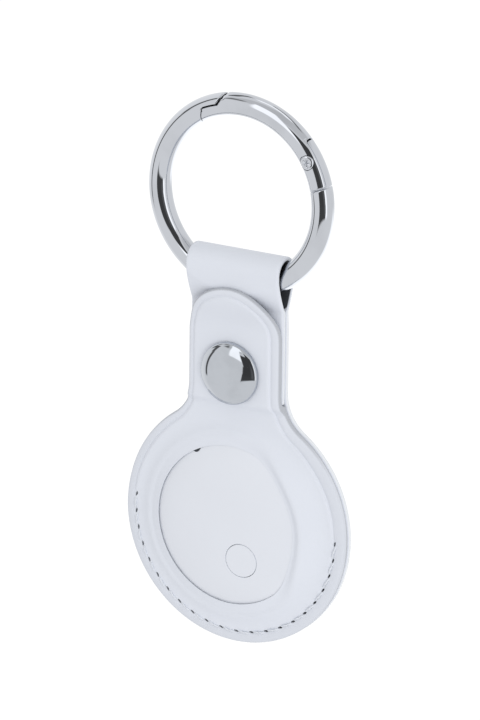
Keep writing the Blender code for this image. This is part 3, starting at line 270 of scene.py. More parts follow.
# The ring
# A round zinc casting with bright nickel plate, open over a sprung gate. Its end at the nose is an outer
# lip, over the gate's inner catch, and its other end is a flat tenon that the gate's two ears hold.

ring_low, ring_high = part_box("ring_body")
ring_z = joint_place["ring_turn"].z
WIRE_RADIUS = 0.5 * (ring_high.y - ring_low.y)
RING_RADIUS = WIRE_RADIUS - ring_z
LIP_TIP_DEG, LIP_ROOT_DEG = 99.9, 104.2
CATCH_ROOT_DEG, CATCH_TIP_DEG = 114.5, 123.0
EAR_SEAM_DEG = 11.0
EAR_LEAN_DEG = 3.4
PIN_DEG = 31.0
LAP_RADIUS = RING_RADIUS + 0.3 * mm
EAR_GAP = 0.17 * mm
LIP_GAP, LAP_GAP, CATCH_GAP = 0.34 * mm, 0.19 * mm, 0.08 * mm
LIP_ROUNDING, LAP_ROUNDING, CATCH_ROUNDING = 0.17 * mm, 0.14 * mm, 0.08 * mm
TENON_HALF = 0.96 * mm
TENON_ROUNDING = 0.10 * mm
SLOT_HALF = 1.0 * mm
TENON_NOSE_RADIUS = WIRE_RADIUS + 0.35 * mm
SLOT_END_RADIUS = TENON_NOSE_RADIUS + 0.3 * mm
TENON_CORNER_DEG, SLOT_CORNER_DEG = 42.6, 43.7
PIN_RADIUS = 1.25 * mm
PIN_HOLE_RADIUS = 1.32 * mm
EDGE_ROUNDING = 0.22 * mm
CUT_OVERRUN = 1.5 * mm
CUT_DEEP = WIRE_RADIUS + CUT_OVERRUN
CUT_OUTER, CUT_INNER = RING_RADIUS + CUT_DEEP, RING_RADIUS - CUT_DEEP
HALF_EAR_GAP_DEG = math.degrees(0.5 * EAR_GAP / RING_RADIUS)
WIRE_FACETS = 72
COARSE_DEG, FINE_DEG, FINE_REACH_DEG = 1.5, 0.25, 4
NOSE_SPOTS_DEG = (104, 119)
SPARE_DEG = 4
HINGE_END_DEG = PIN_DEG + 12
TENON_FAR_DEG = PIN_DEG + 25
NOSE_CUT_TO_DEG = 70
NOSE_MARGIN_DEG = 6
MERGE_DISTANCE = 0.0002 * mm
SKIN_TOLERANCE = 0.02 * mm
WIRE_SHARP_DEG, RIVET_SHARP_DEG = 40, 50
pin_place = joint_place["gate_open"]


def link_mesh(name, points, faces, material=None, sharp_deg=32):
    """A mesh object from points and faces, merged, closed outwards and shaded smooth up to an angle."""
    mesh = bpy.data.meshes.new(name)
    mesh.from_pydata([tuple(point) for point in points], [], faces)
    work = bmesh.new()
    work.from_mesh(mesh)
    bmesh.ops.remove_doubles(work, verts=work.verts, dist=MERGE_DISTANCE)
    bmesh.ops.recalc_face_normals(work, faces=work.faces)
    work.to_mesh(mesh)
    work.free()
    mesh.shade_smooth()
    mesh.set_sharp_from_angle(angle=math.radians(sharp_deg))
    if material:
        mesh.materials.append(material)
    piece = bpy.data.objects.new(name, mesh)
    bpy.context.scene.collection.objects.link(piece)
    return piece


def skin_rings(rings):
    """Points and faces of a tube through rings of equally many points, with both ends closed."""
    count = len(rings[0])
    points = [point for ring in rings for point in ring]
    faces = []
    for here in range(0, len(points) - count, count):
        for side in range(count):
            after = (side + 1) % count
            faces.append((here + side, here + after, here + count + after, here + count + side))
    faces += [tuple(range(count)), tuple(range(len(points) - count, len(points)))]
    return points, faces


def on_ring(radius, degrees, y=0.0):
    """A point in the ring's plane, or at a depth beside it."""
    angle = math.radians(degrees)
    return Vector((radius * math.cos(angle), y, ring_z + radius * math.sin(angle)))


def flat_points(spots):
    """Points of the ring's plane as pairs of X and Z."""
    return [(spot.x, spot.z) for spot in spots]


def wire_stations(first, last, fine_spots):
    """Angles along the wire, closer together round the seams."""
    stations = [first]
    while stations[-1] < last - 0.01:
        here = stations[-1]
        near = min(abs(here - spot) for spot in fine_spots)
        stations.append(min(last, here + (FINE_DEG if near < FINE_REACH_DEG else COARSE_DEG)))
    return stations


def bend_wire(name, first, last, fine_spots, material):
    """A stretch of the ring's round wire."""
    rings = []
    for degrees in wire_stations(first, last, fine_spots):
        turns = [math.tau * (step + 0.5) / WIRE_FACETS for step in range(WIRE_FACETS)]
        rings.append([on_ring(RING_RADIUS + WIRE_RADIUS * math.cos(turn), degrees,
                              WIRE_RADIUS * math.sin(turn)) for turn in turns])
    points, faces = skin_rings(rings)
    return link_mesh(name, points, faces, material)


def cut_away(piece, outline, low_y=-CUT_DEEP, high_y=CUT_DEEP):
    """Cuts a prism over an outline in X and Z out of a piece, right through or between two depths."""
    rings = [[(x, y, z) for x, z in outline] for y in (low_y, high_y)]
    points, faces = skin_rings(rings)
    cutter = link_mesh("cutter", points, faces)
    cut_with(piece, cutter)


def settle(piece):
    """Takes what a piece's modifier makes as its mesh, and the modifier away."""
    bpy.context.view_layer.update()
    result = bpy.data.meshes.new_from_object(piece.evaluated_get(bpy.context.evaluated_depsgraph_get()))
    piece.modifiers.clear()
    piece.data = result


def cut_with(piece, cutter, operation="DIFFERENCE"):
    """Applies an exact Boolean and takes the cutter away."""
    modifier = piece.modifiers.new("cut", "BOOLEAN")
    modifier.operation = operation
    modifier.solver = "EXACT"
    modifier.object = cutter
    settle(piece)
    bpy.data.objects.remove(cutter)


def nose_seam(gate_side):
    """The stepped nose seam, from outside the wire to inside it, on the gate's or the body's side."""
    sign = -1 if gate_side else 1
    lip_root = LIP_ROOT_DEG - 0.5 * sign * math.degrees(LIP_GAP / RING_RADIUS)
    catch_root = CATCH_ROOT_DEG - 0.5 * sign * math.degrees(CATCH_GAP / RING_RADIUS)
    lap = LAP_RADIUS - 0.5 * sign * LAP_GAP
    outer, inner = RING_RADIUS + WIRE_RADIUS + CUT_OVERRUN, RING_RADIUS - WIRE_RADIUS - CUT_OVERRUN
    lip_slope = (LIP_TIP_DEG - LIP_ROOT_DEG) / (RING_RADIUS + WIRE_RADIUS - lap)
    catch_slope = (CATCH_TIP_DEG - CATCH_ROOT_DEG) / (lap - RING_RADIUS + WIRE_RADIUS)
    places = [(outer, lip_root + lip_slope * (outer - lap))]
    places += [(lap, lip_root + step * (catch_root - lip_root) / 8) for step in range(9)]
    places += [(inner, catch_root + catch_slope * (lap - inner))]
    return places


def nose_edges(gate_side):
    """The nose seam's three stretches in X and Z, each with the rounding of its plated edge."""
    flat = flat_points([on_ring(*place) for place in nose_seam(gate_side)])
    return [(flat[:2], LIP_ROUNDING), (flat[1:-1], LAP_ROUNDING), (flat[-2:], CATCH_ROUNDING)]


def nose_outline(gate_side, far_deg):
    """What lies beyond the nose seam, as an outline in X and Z."""
    seam = nose_seam(gate_side)
    outer, inner = seam[0][0] + CUT_OVERRUN, seam[-1][0]
    first = seam[0][1]
    back = [on_ring(inner, far_deg)]
    back += [on_ring(outer, far_deg + (first - far_deg) * step / 4) for step in range(4)]
    return flat_points([on_ring(*place) for place in seam] + back)


def about_pin(radius, first_deg, last_deg, steps=24):
    """Points on a circle round the gate's pin, in X and Z."""
    angles = [math.radians(first_deg + (last_deg - first_deg) * step / steps) for step in range(steps + 1)]
    return [(pin_place.x + radius * math.cos(angle), pin_place.z + radius * math.sin(angle))
            for angle in angles]


pin_hole = about_pin(PIN_HOLE_RADIUS, 0, 350, 35)


def ear_seam(side):
    """The slanted seam under the ears in X and Z, on the body's side (-1) or the gate's (1)."""
    degrees = EAR_SEAM_DEG + side * HALF_EAR_GAP_DEG
    return flat_points([on_ring(CUT_INNER, degrees), on_ring(CUT_OUTER, degrees + EAR_LEAN_DEG)])


def distance_to_line(points, line):
    """How far each of many points lies from a polyline, in a plane."""
    points = np.asarray(points, float)
    best = np.full(len(points), np.inf)
    for start, end in zip(line[:-1], line[1:]):
        start, end = np.asarray(start, float), np.asarray(end, float)
        way = end - start
        share = np.clip((points - start) @ way / max(way @ way, 1e-18), 0, 1)
        best = np.minimum(best, np.linalg.norm(points - start - share[:, None] * way, axis=1))
    return best


def edge_trim(gap, rounding):
    """How much a face gives way near a rounded edge, from the distance to that edge."""
    depth = np.clip(rounding - gap, 0, rounding)
    return rounding - np.sqrt(np.maximum(rounding ** 2 - depth ** 2, 0))


def round_wire_edges(piece, seams, slot_half, slot_rounding):
    """Eases the plated edges: the wire thins a little where its skin meets a seam or the hinge's slot."""
    mesh = piece.data
    points = np.array([vertex.co for vertex in mesh.vertices])
    angle = np.arctan2(points[:, 2] - ring_z, points[:, 0])
    core = np.stack([RING_RADIUS * np.cos(angle), np.zeros(len(points)),
                     ring_z + RING_RADIUS * np.sin(angle)], axis=1)
    out = points - core
    reach = np.linalg.norm(out, axis=1)
    on_skin = np.abs(reach - WIRE_RADIUS) < SKIN_TOLERANCE
    thinner = np.zeros(len(points))
    for seam, rounding in seams:
        thinner = np.maximum(thinner, edge_trim(distance_to_line(points[:, (0, 2)], seam), rounding))
    at_slot = (np.degrees(angle) > EAR_SEAM_DEG - 1) & (np.degrees(angle) < HINGE_END_DEG)
    at_slot &= np.hypot(points[:, 0], points[:, 2] - ring_z) > RING_RADIUS
    slot_gap = np.where(at_slot, np.abs(np.abs(points[:, 1]) - slot_half), np.inf)
    thinner = np.maximum(thinner, edge_trim(slot_gap, slot_rounding))
    scale = np.where(on_skin, (reach - thinner) / reach, 1.0)
    points = core + out * scale[:, None]
    mesh.vertices.foreach_set("co", points.astype(np.float32).ravel())
    mesh.update()
    mesh.shade_smooth()
    mesh.set_sharp_from_angle(angle=math.radians(WIRE_SHARP_DEG))


def noise(material, place, scale, detail, roughness=0.5):
    """A cloudy pattern's value in a material's space, as a socket."""
    values = {"Vector": place, "Scale": scale, "Detail": detail, "Roughness": roughness}
    return add_node(material, "TexNoise", values).outputs[0]


def plated_metal(name, tint, roughness, wear, scale):
    """Bright nickel plate: faint ripples of the polish, fine handling marks and duller patches."""
    material, shader = make_new_material(name)
    place = add_node(material, "TexCoord").outputs["Object"]
    ripple = noise(material, place, 260 * scale, 2.0)
    marks = add_node(material, "Mapping", {"Vector": place, "Scale": (9000, 700, 2600),
                                           "Rotation": (0.3, 0.5, 0.7)})
    scratch = noise(material, marks.outputs[0], 1.0, 3.0)
    dull_share = soft_step(material, noise(material, place, 180 * scale, 4.0), 0.42, 0.72)
    rough = add_node(material, "MapRange", {0: dull_share, 3: roughness, 4: roughness + wear})
    shade = two_tone(material, dull_share, tint, 1.0, 0.93)
    bump = add_node(material, "Bump", {"Strength": 0.05, "Distance": 0.05 * mm, "Height": ripple})
    fine = add_node(material, "Bump", {"Strength": 0.02, "Distance": 0.01 * mm, "Height": scratch,
                                       "Normal": bump.outputs[0]})
    finish_shader(material, shader, shade, rough.outputs[0], fine.outputs[0])
    shader.inputs["Metallic"].default_value = 1.0
    return material


ring_plate = plated_metal("ring_nickel_plate", (0.570, 0.590, 0.630), 0.03, 0.04, 1.0)
# A dark metal that is painted shade, for the walls inside the nose seam's gap.
nose_seam_shade = plated_metal("nose_seam_shade", (0.075, 0.080, 0.090), 0.40, 0.15, 3.0)


def shade_nose_seam_walls(piece):
    """Gives the nose seam's walls a dark metal, as painted shade in the seam's gap."""
    mesh = piece.data
    mesh.materials.append(nose_seam_shade)
    for face in mesh.polygons:
        middle = face.center
        turn = math.degrees(math.atan2(middle.z - ring_z, middle.x))
        reach = math.hypot(math.hypot(middle.x, middle.z - ring_z) - RING_RADIUS, middle.y)
        near_nose = LIP_TIP_DEG - NOSE_MARGIN_DEG < turn < CATCH_TIP_DEG + NOSE_MARGIN_DEG
        if near_nose and reach < WIRE_RADIUS - 0.9 * LIP_ROUNDING:
            face.material_index = len(mesh.materials) - 1


def make_ring_body():
    """The fixed part of the ring."""
    body = bend_wire("ring_casting", LIP_TIP_DEG - SPARE_DEG, 360 + HINGE_END_DEG,
                     (*NOSE_SPOTS_DEG, 360 + EAR_SEAM_DEG, 360 + PIN_DEG), ring_plate)
    cut_away(body, nose_outline(True, NOSE_CUT_TO_DEG))
    first, sweep = EAR_SEAM_DEG - HALF_EAR_GAP_DEG, TENON_FAR_DEG - EAR_SEAM_DEG
    spots = [first + sweep * step / 8 for step in range(9)]
    cheek = [on_ring(CUT_OUTER, spot + EAR_LEAN_DEG) for spot in spots]
    cheek = flat_points(cheek + [on_ring(CUT_INNER, spot) for spot in reversed(spots)])
    cut_away(body, cheek, -CUT_DEEP, -TENON_HALF)
    cut_away(body, cheek, TENON_HALF, CUT_DEEP)
    nose = about_pin(TENON_NOSE_RADIUS, PIN_DEG + 90, PIN_DEG + 180)
    beyond = [on_ring(CUT_OUTER, TENON_CORNER_DEG), on_ring(CUT_OUTER, TENON_FAR_DEG),
              on_ring(CUT_INNER, TENON_FAR_DEG), on_ring(CUT_INNER, PIN_DEG)]
    cut_away(body, flat_points(beyond) + nose[::-1])
    cut_away(body, pin_hole)
    edges = nose_edges(True) + [(ear_seam(-1), EDGE_ROUNDING)]
    round_wire_edges(body, edges, TENON_HALF, TENON_ROUNDING)
    shade_nose_seam_walls(body)
    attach(body, "ring")
    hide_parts("ring_body")


make_ring_body()


# The gate
# The hinged quarter of the ring, from the same casting. Its ears straddle the tenon, a spring and plunger
# in a blind bore push it shut, and its nose is a catch that rests inside the ring's lip.

BORE_RADIUS = 0.81 * mm
BORE_LEAN_DEG = 6.0
BORE_DEPTH = 4.25 * mm
BORE_FACETS = 24
HEEL_ARC_DEG = 40.0
GATE_CUT_FROM_DEG = EAR_SEAM_DEG - 6
GATE_CUT_TO_DEG = 145
GATE_SPOTS_DEG = (EAR_SEAM_DEG, PIN_DEG, 46, *NOSE_SPOTS_DEG)


def make_gate():
    """The gate, forked at the hinge, bored for its spring and stepped at the nose."""
    gate = bend_wire("ring_gate_casting", EAR_SEAM_DEG - 3, CATCH_TIP_DEG + SPARE_DEG, GATE_SPOTS_DEG,
                     ring_plate)
    cut_away(gate, nose_outline(False, GATE_CUT_TO_DEG))
    below = flat_points([on_ring(CUT_OUTER, GATE_CUT_FROM_DEG), on_ring(CUT_INNER, GATE_CUT_FROM_DEG)])
    cut_away(gate, ear_seam(1) + below)
    inwards = Vector((-math.cos(math.radians(PIN_DEG)), -math.sin(math.radians(PIN_DEG))))
    end = about_pin(SLOT_END_RADIUS, PIN_DEG + 90, PIN_DEG + 180)
    slot = below[:1] + flat_points([on_ring(CUT_OUTER, SLOT_CORNER_DEG)]) + end
    slot += [tuple(Vector(end[-1]) + inwards * CUT_DEEP)] + below[1:]
    cut_away(gate, slot, -SLOT_HALF, SLOT_HALF)
    ear_reach = RING_RADIUS * math.radians(PIN_DEG - EAR_SEAM_DEG) - EAR_GAP
    heel = about_pin(ear_reach, PIN_DEG - 90, PIN_DEG - 90 - HEEL_ARC_DEG, 12)
    heel += about_pin(ear_reach + CUT_OVERRUN, PIN_DEG - 90 - HEEL_ARC_DEG, PIN_DEG - 90, 6)
    cut_away(gate, heel)
    cut_away(gate, pin_hole)
    lean = math.radians(PIN_DEG + 90 + BORE_LEAN_DEG)
    along = Vector((math.cos(lean), 0, math.sin(lean)))
    side = Vector((0, 1, 0))
    other = along.cross(side)
    mouth = pin_place + along * TENON_NOSE_RADIUS
    turns = [math.tau * step / BORE_FACETS for step in range(BORE_FACETS)]
    rings = [[mouth + along * depth + BORE_RADIUS * (math.cos(turn) * side + math.sin(turn) * other)
              for turn in turns] for depth in (0, SLOT_END_RADIUS - TENON_NOSE_RADIUS + BORE_DEPTH)]
    cut_with(gate, link_mesh("cutter", *skin_rings(rings)))
    edges = nose_edges(False) + [(ear_seam(1), EDGE_ROUNDING)]
    round_wire_edges(gate, edges, SLOT_HALF, EDGE_ROUNDING)
    shade_nose_seam_walls(gate)
    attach(gate, "gate")
    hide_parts("ring_gate")


def coat_node(node_name, material):
    """Gives a solid that scene.py keeps as it is its own finish."""
    materials = frame["nodes"][node_name].data.materials
    materials.clear()
    materials.append(material)


make_gate()
spring_wire = plated_metal("drawn_spring_wire", (0.50, 0.50, 0.52), 0.22, 0.12, 6.0)
coat_node("gate_spring", spring_wire)
coat_node("gate_plunger", spring_wire)


# The hinge pin
# A plated steel rivet through the ears and the tenon. Each end is peened flush with a star-shaped punch,
# which leaves a small raised ring round five short grooves.

PIN_PROUD = 0.05 * mm
PIN_SIDE_DROP = 1.6 * mm
PIN_SIDES = 80
HEAD_SHARES = (0.02, 0.12, 0.22, 0.32, 0.42, 0.5, 0.56, 0.62, 0.7, 0.78, 0.86, 0.93, 1.0)
HEAD_EDGE_SHARE, SHANK_SHARE = 0.93, 1.3
STAR_ARMS = 5
PUNCH_DEPTH, PUNCH_SHARE = 0.06 * mm, 0.62
STAR_DEPTH, STAR_SHARE = 0.20 * mm, 0.66
COLLAR_HEIGHT, COLLAR_SHARE, COLLAR_WIDTH_SHARE = 0.09 * mm, 0.76, 0.1


def make_hinge_pin():
    """The rivet, turned about Y, with the punched star on both heads."""
    rings = []
    for end in (-1, 1):
        head = []
        for share in (*HEAD_SHARES, SHANK_SHARE):
            radius = PIN_RADIUS * min(share, 1.0)
            ring = []
            for step in range(PIN_SIDES):
                angle = math.tau * step / PIN_SIDES
                x, z = pin_place.x + radius * math.cos(angle), pin_place.z + radius * math.sin(angle)
                skin = math.sqrt(WIRE_RADIUS ** 2 - (math.hypot(x, z - ring_z) - RING_RADIUS) ** 2)
                arm = (0.5 + 0.5 * math.cos(STAR_ARMS * angle)) ** 3
                dish = PUNCH_DEPTH * max(0.0, 1 - share / PUNCH_SHARE) ** 0.5
                groove = STAR_DEPTH * arm * max(0.0, 1 - share / STAR_SHARE) ** 0.4
                collar = COLLAR_HEIGHT * math.exp(-((share - COLLAR_SHARE) / COLLAR_WIDTH_SHARE) ** 2)
                fall = PIN_SIDE_DROP * max(0.0, share - HEAD_EDGE_SHARE)
                ring.append((x, end * (skin + PIN_PROUD + collar - dish - groove - fall), z))
            head.append(ring)
        rings += head if end < 0 else head[::-1]
    points, faces = skin_rings(rings)
    pin = link_mesh("hinge_rivet", points, faces, ring_plate, RIVET_SHARP_DEG)
    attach(pin, "ring")
    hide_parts("gate_hinge_pin")


make_hinge_pin()


# The strap and the pouch's back
# One piece of white coated leather, from the disc's domed back up the neck, over the ring and down in
# front of the neck. Cut edges are pared and painted white, a little lighter than the face as a painted
# highlight.

bend_z = joint_place["strap_bend"].z
hinge_z = joint_place["tongue_open"].z
disc_low, disc_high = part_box("back_panel")
strap_low, strap_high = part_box("strap_end")
tag_low, tag_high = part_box("tag_front_shell")
DISC_RADIUS = 0.5 * (disc_high.x - disc_low.x)
TAG_RADIUS = 0.5 * (tag_high.x - tag_low.x)
STRAP_HALF = 0.5 * (strap_high.x - strap_low.x)
NECK_FILLET = 8.0 * mm
PANEL_NEAR, PANEL_FAR = 0.325 * mm, joint_place["strap_bend"].y
STRAP_NEAR, STRAP_FAR = 0.25 * mm, 0.95 * mm
LAYER_HALF = 0.025 * mm
LOOP_HALF_GAP = WIRE_RADIUS + 0.12 * mm
LOOP_TOP_GAP = 0.12 * mm
BACK_RISE = disc_high.y - PANEL_FAR
BACK_FLAT, BACK_FOOT = TAG_RADIUS - 2.55 * mm, TAG_RADIUS + 3.05 * mm
OUTLINE_STEP = 0.3 * mm
GRAIN_STEP = 0.52 * mm
FIELD_CLEARANCE = 0.55
FIELD_CHUNK = 2000
BELLY_DROP, BELLY_SHARE = 0.51 * mm, 0.85
THINNING_Z = (bend_z - 3 * mm, bend_z + 1 * mm)
LOOP_OPENING = 0.8 * mm
STRAP_CORNER = 0.12 * mm
EDGE_ROUND = 0.40 * mm
INNER_EDGE_ROUND = 0.24 * mm
EDGE_GUIDES = [gap * mm for gap in (0.03, 0.09, 0.18, 0.32, 0.6)]
RIM_BAND = (0.9 * mm, 1.25 * mm)
inner_wire_drop = math.sqrt((RING_RADIUS - WIRE_RADIUS) ** 2 - STRAP_HALF ** 2)
belly_z = bend_z + BELLY_SHARE * (ring_z - RING_RADIUS - bend_z)
loop_round_z = ring_z - inner_wire_drop + LOOP_TOP_GAP - LOOP_HALF_GAP
crown_length = math.pi * (LOOP_HALF_GAP + STRAP_FAR)
strap_end_z = strap_low.z
STITCH_RADIUS = DISC_RADIUS - 2.0 * mm
STITCH_COUNT = 22
STITCH_FIRST_DEG, STITCH_LAST_DEG = 175.1, 359.3
SLIT_LENGTH, SLIT_WIDTH, SLIT_SLANT_DEG, SLIT_SIDES = 0.95 * mm, 0.38 * mm, 12.0, 12
PULL_REACH, EDGE_PUCKER, BACK_STITCH_DIP = 0.75 * mm, 0.10 * mm, 0.14 * mm
SEAM_GROOVE_DEPTH, SEAM_GROOVE_WIDTH = 0.10 * mm, 0.5 * mm
cap_low, cap_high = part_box("snap_cap")
snap_z = 0.5 * (cap_low.z + cap_high.z)
POST_HOLE_RADIUS = 1.0 * mm
STRAP_HOLE_RADIUS = 4.3 * mm
RIM_FILL = 0.22 * mm


def ease(value, low, high):
    """A smooth rise from 0 at low to 1 at high, for one number or an array."""
    share = np.clip((value - low) / (high - low), 0, 1)
    return 0.5 - 0.5 * np.cos(math.pi * share)


def arc(centre, radius, first_deg, last_deg):
    """Points along an arc, without its last point."""
    steps = max(3, math.ceil(abs(math.radians(last_deg - first_deg)) * radius / OUTLINE_STEP))
    angles = [math.radians(first_deg + (last_deg - first_deg) * step / steps) for step in range(steps)]
    return [(centre[0] + radius * math.cos(angle), centre[1] + radius * math.sin(angle)) for angle in angles]


def circle(centre, radius):
    """A full circle's points, as an array."""
    return np.array(arc(centre, radius, 0, 360))


def run(first, last):
    """Points along a straight line, without its last point."""
    steps = max(1, math.ceil(math.dist(first, last) / OUTLINE_STEP))
    return [(first[0] + (last[0] - first[0]) * step / steps, first[1] + (last[1] - first[1]) * step / steps)
            for step in range(steps)]


def pouch_outline(half, top):
    """The disc, its fillets into the neck and the neck's sides, closed by the points over the top."""
    fillet_x = half + NECK_FILLET
    fillet_z = math.sqrt((DISC_RADIUS + NECK_FILLET) ** 2 - fillet_x ** 2)
    meet = math.degrees(math.atan2(fillet_z, fillet_x))
    centre = (0, pouch_z)
    right = (fillet_x, pouch_z + fillet_z)
    left = (-fillet_x, pouch_z + fillet_z)
    points = arc(centre, DISC_RADIUS, -180 - meet, meet)
    points += arc(right, NECK_FILLET, 180 + meet, 180)
    points += run((half, right[1]), top[0]) + top + run(top[-1], (-half, left[1]))
    points += arc(left, NECK_FILLET, 0, -meet)
    return np.array(points)


def inward(outline):
    """Unit directions into a counter-clockwise outline, at each of its points."""
    along = np.roll(outline, -1, axis=0) - np.roll(outline, 1, axis=0)
    along /= np.linalg.norm(along, axis=1)[:, None]
    return np.stack([-along[:, 1], along[:, 0]], axis=1)


def inside(points, outline):
    """Which points lie inside an outline."""
    result = np.zeros(len(points), bool)
    x, z = points[:, 0], points[:, 1]
    for (x0, z0), (x1, z1) in zip(outline, np.roll(outline, -1, axis=0)):
        crosses = (z0 > z) != (z1 > z)
        if z0 != z1:
            result ^= crosses & (x < (x1 - x0) * (z - z0) / (z1 - z0) + x0)
    return result


def slit_corners():
    """The slanted stitch slits, as outlines in X and Z."""
    slits = []
    for index in range(STITCH_COUNT):
        degrees = STITCH_FIRST_DEG + (STITCH_LAST_DEG - STITCH_FIRST_DEG) * index / (STITCH_COUNT - 1)
        angle = math.radians(degrees)
        centre = np.array((STITCH_RADIUS * math.cos(angle), pouch_z + STITCH_RADIUS * math.sin(angle)))
        slant = angle + math.radians(90 - SLIT_SLANT_DEG)
        along = np.array((math.cos(slant), math.sin(slant)))
        over = np.array((-along[1], along[0]))
        half_long, half_wide = 0.5 * SLIT_LENGTH, 0.5 * SLIT_WIDTH
        turns = [math.tau * step / SLIT_SIDES for step in range(SLIT_SIDES)]
        slits.append(np.array([centre + along * half_long * math.cos(turn)
                               + over * half_wide * math.sin(turn) for turn in turns]))
    return slits


def hex_points(low, high, step):
    """A close-packed field of points over a box."""
    rows = np.arange(low[1], high[1], step * math.sqrt(0.75))
    columns = np.arange(low[0], high[0], step)
    x, z = np.meshgrid(columns, rows)
    x = x + 0.5 * step * (np.arange(len(rows)) % 2)[:, None]
    return np.stack([x.ravel(), z.ravel()], axis=1)


def cut_sheet(name, outline, holes, guides, surface, material, step=GRAIN_STEP, sharp_deg=55):
    """A sheet of some thickness over a flat pattern: surface(points, face) gives its two faces in space."""
    points, edges = [], []
    for loop in [outline] + holes + guides:
        first = len(points)
        points += [tuple(point) for point in loop]
        edges += [(first + here, first + (here + 1) % len(loop)) for here in range(len(loop))]
    fixed = np.array(points)
    field = hex_points(outline.min(axis=0), outline.max(axis=0), step)
    field = field[inside(field, outline)]
    keep = np.full(len(field), True)
    for here in range(0, len(field), FIELD_CHUNK):
        gaps = np.linalg.norm(field[here:here + FIELD_CHUNK, None] - fixed[None], axis=2).min(axis=1)
        keep[here:here + FIELD_CHUNK] = gaps > FIELD_CLEARANCE * step
    points += [tuple(point) for point in field[keep]]
    result = delaunay_2d_cdt([Vector(point) for point in points], edges, [], 0, 1e-9, False)
    flat = np.array([tuple(point) for point in result[0]])
    faces = np.array(result[2])
    middle = flat[faces].mean(axis=1)
    wanted = inside(middle, outline)
    for hole in holes:
        wanted &= ~inside(middle, hole)
    faces = faces[wanted]
    used = np.unique(faces)
    number = np.full(len(flat), -1)
    number[used] = np.arange(len(used))
    flat, faces = flat[used], number[faces]
    count = len(flat)
    seen = dict.fromkeys((face[here], face[(here + 1) % 3]) for face in faces.tolist() for here in range(3))
    rim = [edge for edge in seen if (edge[1], edge[0]) not in seen]
    spots = np.concatenate([surface(flat, 0), surface(flat, 1)])
    all_faces = [tuple(face) for face in faces.tolist()]
    all_faces += [tuple(count + corner for corner in reversed(face)) for face in faces.tolist()]
    all_faces += [(b, a, count + a, count + b) for a, b in rim]
    return link_mesh(name, spots, all_faces, material, sharp_deg)


def closed(outline):
    """A loop with its first point again at the end."""
    return np.concatenate([outline, outline[:1]])


def from_disc_centre(points):
    """How far points of a flat pattern lie from the disc's centre."""
    return np.hypot(points[:, 0], points[:, 1] - pouch_z)


def dome(radius, height, flat, foot):
    """How far a panel bulges at a radius from the disc's centre."""
    return height * ease(-radius, -foot, -flat)


slit_centres = np.array([slit.mean(axis=0) for slit in slit_corners()])


def stitch_pull(points):
    """How strongly the thread draws the leather in, near each slit."""
    gaps = np.full(len(points), np.inf)
    for centre in slit_centres:
        gaps = np.minimum(gaps, np.linalg.norm(points - centre, axis=1))
    return np.exp(-(gaps / PULL_REACH) ** 2)


def wall_share(x, z):
    """How far the loop's walls stand apart: they follow the wire, which rises towards the strap's edges."""
    wire_side = ring_z - np.sqrt(RING_RADIUS ** 2 - np.clip(np.abs(x), 0, STRAP_HALF) ** 2)
    share = np.clip((z - bend_z) / (wire_side - BELLY_DROP - bend_z), 0, 1)
    return 0.5 * share + 0.5 * np.sin(0.5 * math.pi * share)


def strap_space(points, share, trim):
    """Places points of the strap's flat pattern (X, length) in space, at a share of its thickness."""
    x, s = points[:, 0], points[:, 1]
    top = loop_round_z + crown_length
    on_crown = (s > loop_round_z) & (s < top)
    in_front = s >= top
    z = np.where(in_front, loop_round_z - (s - top), np.minimum(s, loop_round_z))
    strap_share = np.where(in_front, 1.0, ease(z, *THINNING_Z))
    near = (PANEL_NEAR - LAYER_HALF) * (1 - strap_share) + STRAP_NEAR * strap_share
    far = (PANEL_FAR - LAYER_HALF) * (1 - strap_share) + STRAP_FAR * strap_share
    offset = np.where(share > 0.5, far - trim, near + trim)
    gap = LAYER_HALF + (LOOP_HALF_GAP - LAYER_HALF) * wall_share(x, z)
    bulge = dome(from_disc_centre(points), BACK_RISE, BACK_FLAT, BACK_FOOT)
    y = np.where(in_front, -(gap + offset), gap + offset + np.where(s < bend_z, bulge, 0))
    turn = math.pi * np.clip((s - loop_round_z) / crown_length, 0, 1)
    y = np.where(on_crown, (LOOP_HALF_GAP + offset) * np.cos(turn), y)
    z = np.where(on_crown, loop_round_z + (LOOP_HALF_GAP + offset) * np.sin(turn), z)
    return np.stack([x, y, z], axis=1)


def coated_leather(name, tint, grain, edge_paint_and_light_tint):
    """White coated leather: fine pressed grain and faint mottling. Where the edge mask asks, an edge colour:
    painted shade on the front leather, and light edge paint with a painted highlight on the back.
    """
    material, shader = make_new_material(name)
    place = add_node(material, "TexCoord").outputs["Object"]
    pebble = add_node(material, "TexVoronoi", {"Vector": place, "Scale": 2600.0, "Randomness": 0.9},
                      feature="SMOOTH_F1")
    folds = noise(material, place, 900.0, 5.0, 0.6)
    pebbles = math_node(material, "MULTIPLY", pebble.outputs["Distance"], 0.6)
    height = math_node(material, "ADD", pebbles, folds)
    colour = two_tone(material, noise(material, place, 60.0, 3.0), tint, 0.975, 1.0, 0.3, 0.7)
    # Painted light: the edge colour mixed in by the mask is painted shade on the front and a highlight on
    # the back.
    cut = add_node(material, "Attribute", attribute_name="edge_paint_and_light").outputs["Fac"]
    painted = add_node(material, "Mix", {0: cut, 6: colour, 7: (*edge_paint_and_light_tint, 1)}, data_type="RGBA")
    rough = add_node(material, "MapRange", {0: folds, 1: 0.3, 2: 0.7, 3: 0.42, 4: 0.58})
    bump = add_node(material, "Bump", {"Strength": grain, "Distance": 0.04 * mm, "Height": height})
    finish_shader(material, shader, painted.outputs[2], rough.outputs[0], bump.outputs[0])
    shader.inputs["Specular IOR Level"].default_value = 0.35
    return material


LEATHER_WHITE = (0.735, 0.765, 0.83)
LEATHER_GRAIN = 0.12
# Its edge colour is white edge paint, made lighter than the face as a painted highlight.
back_leather_coat = coated_leather("white_coated_leather_back", LEATHER_WHITE, LEATHER_GRAIN,
                                   (0.80, 0.825, 0.85))


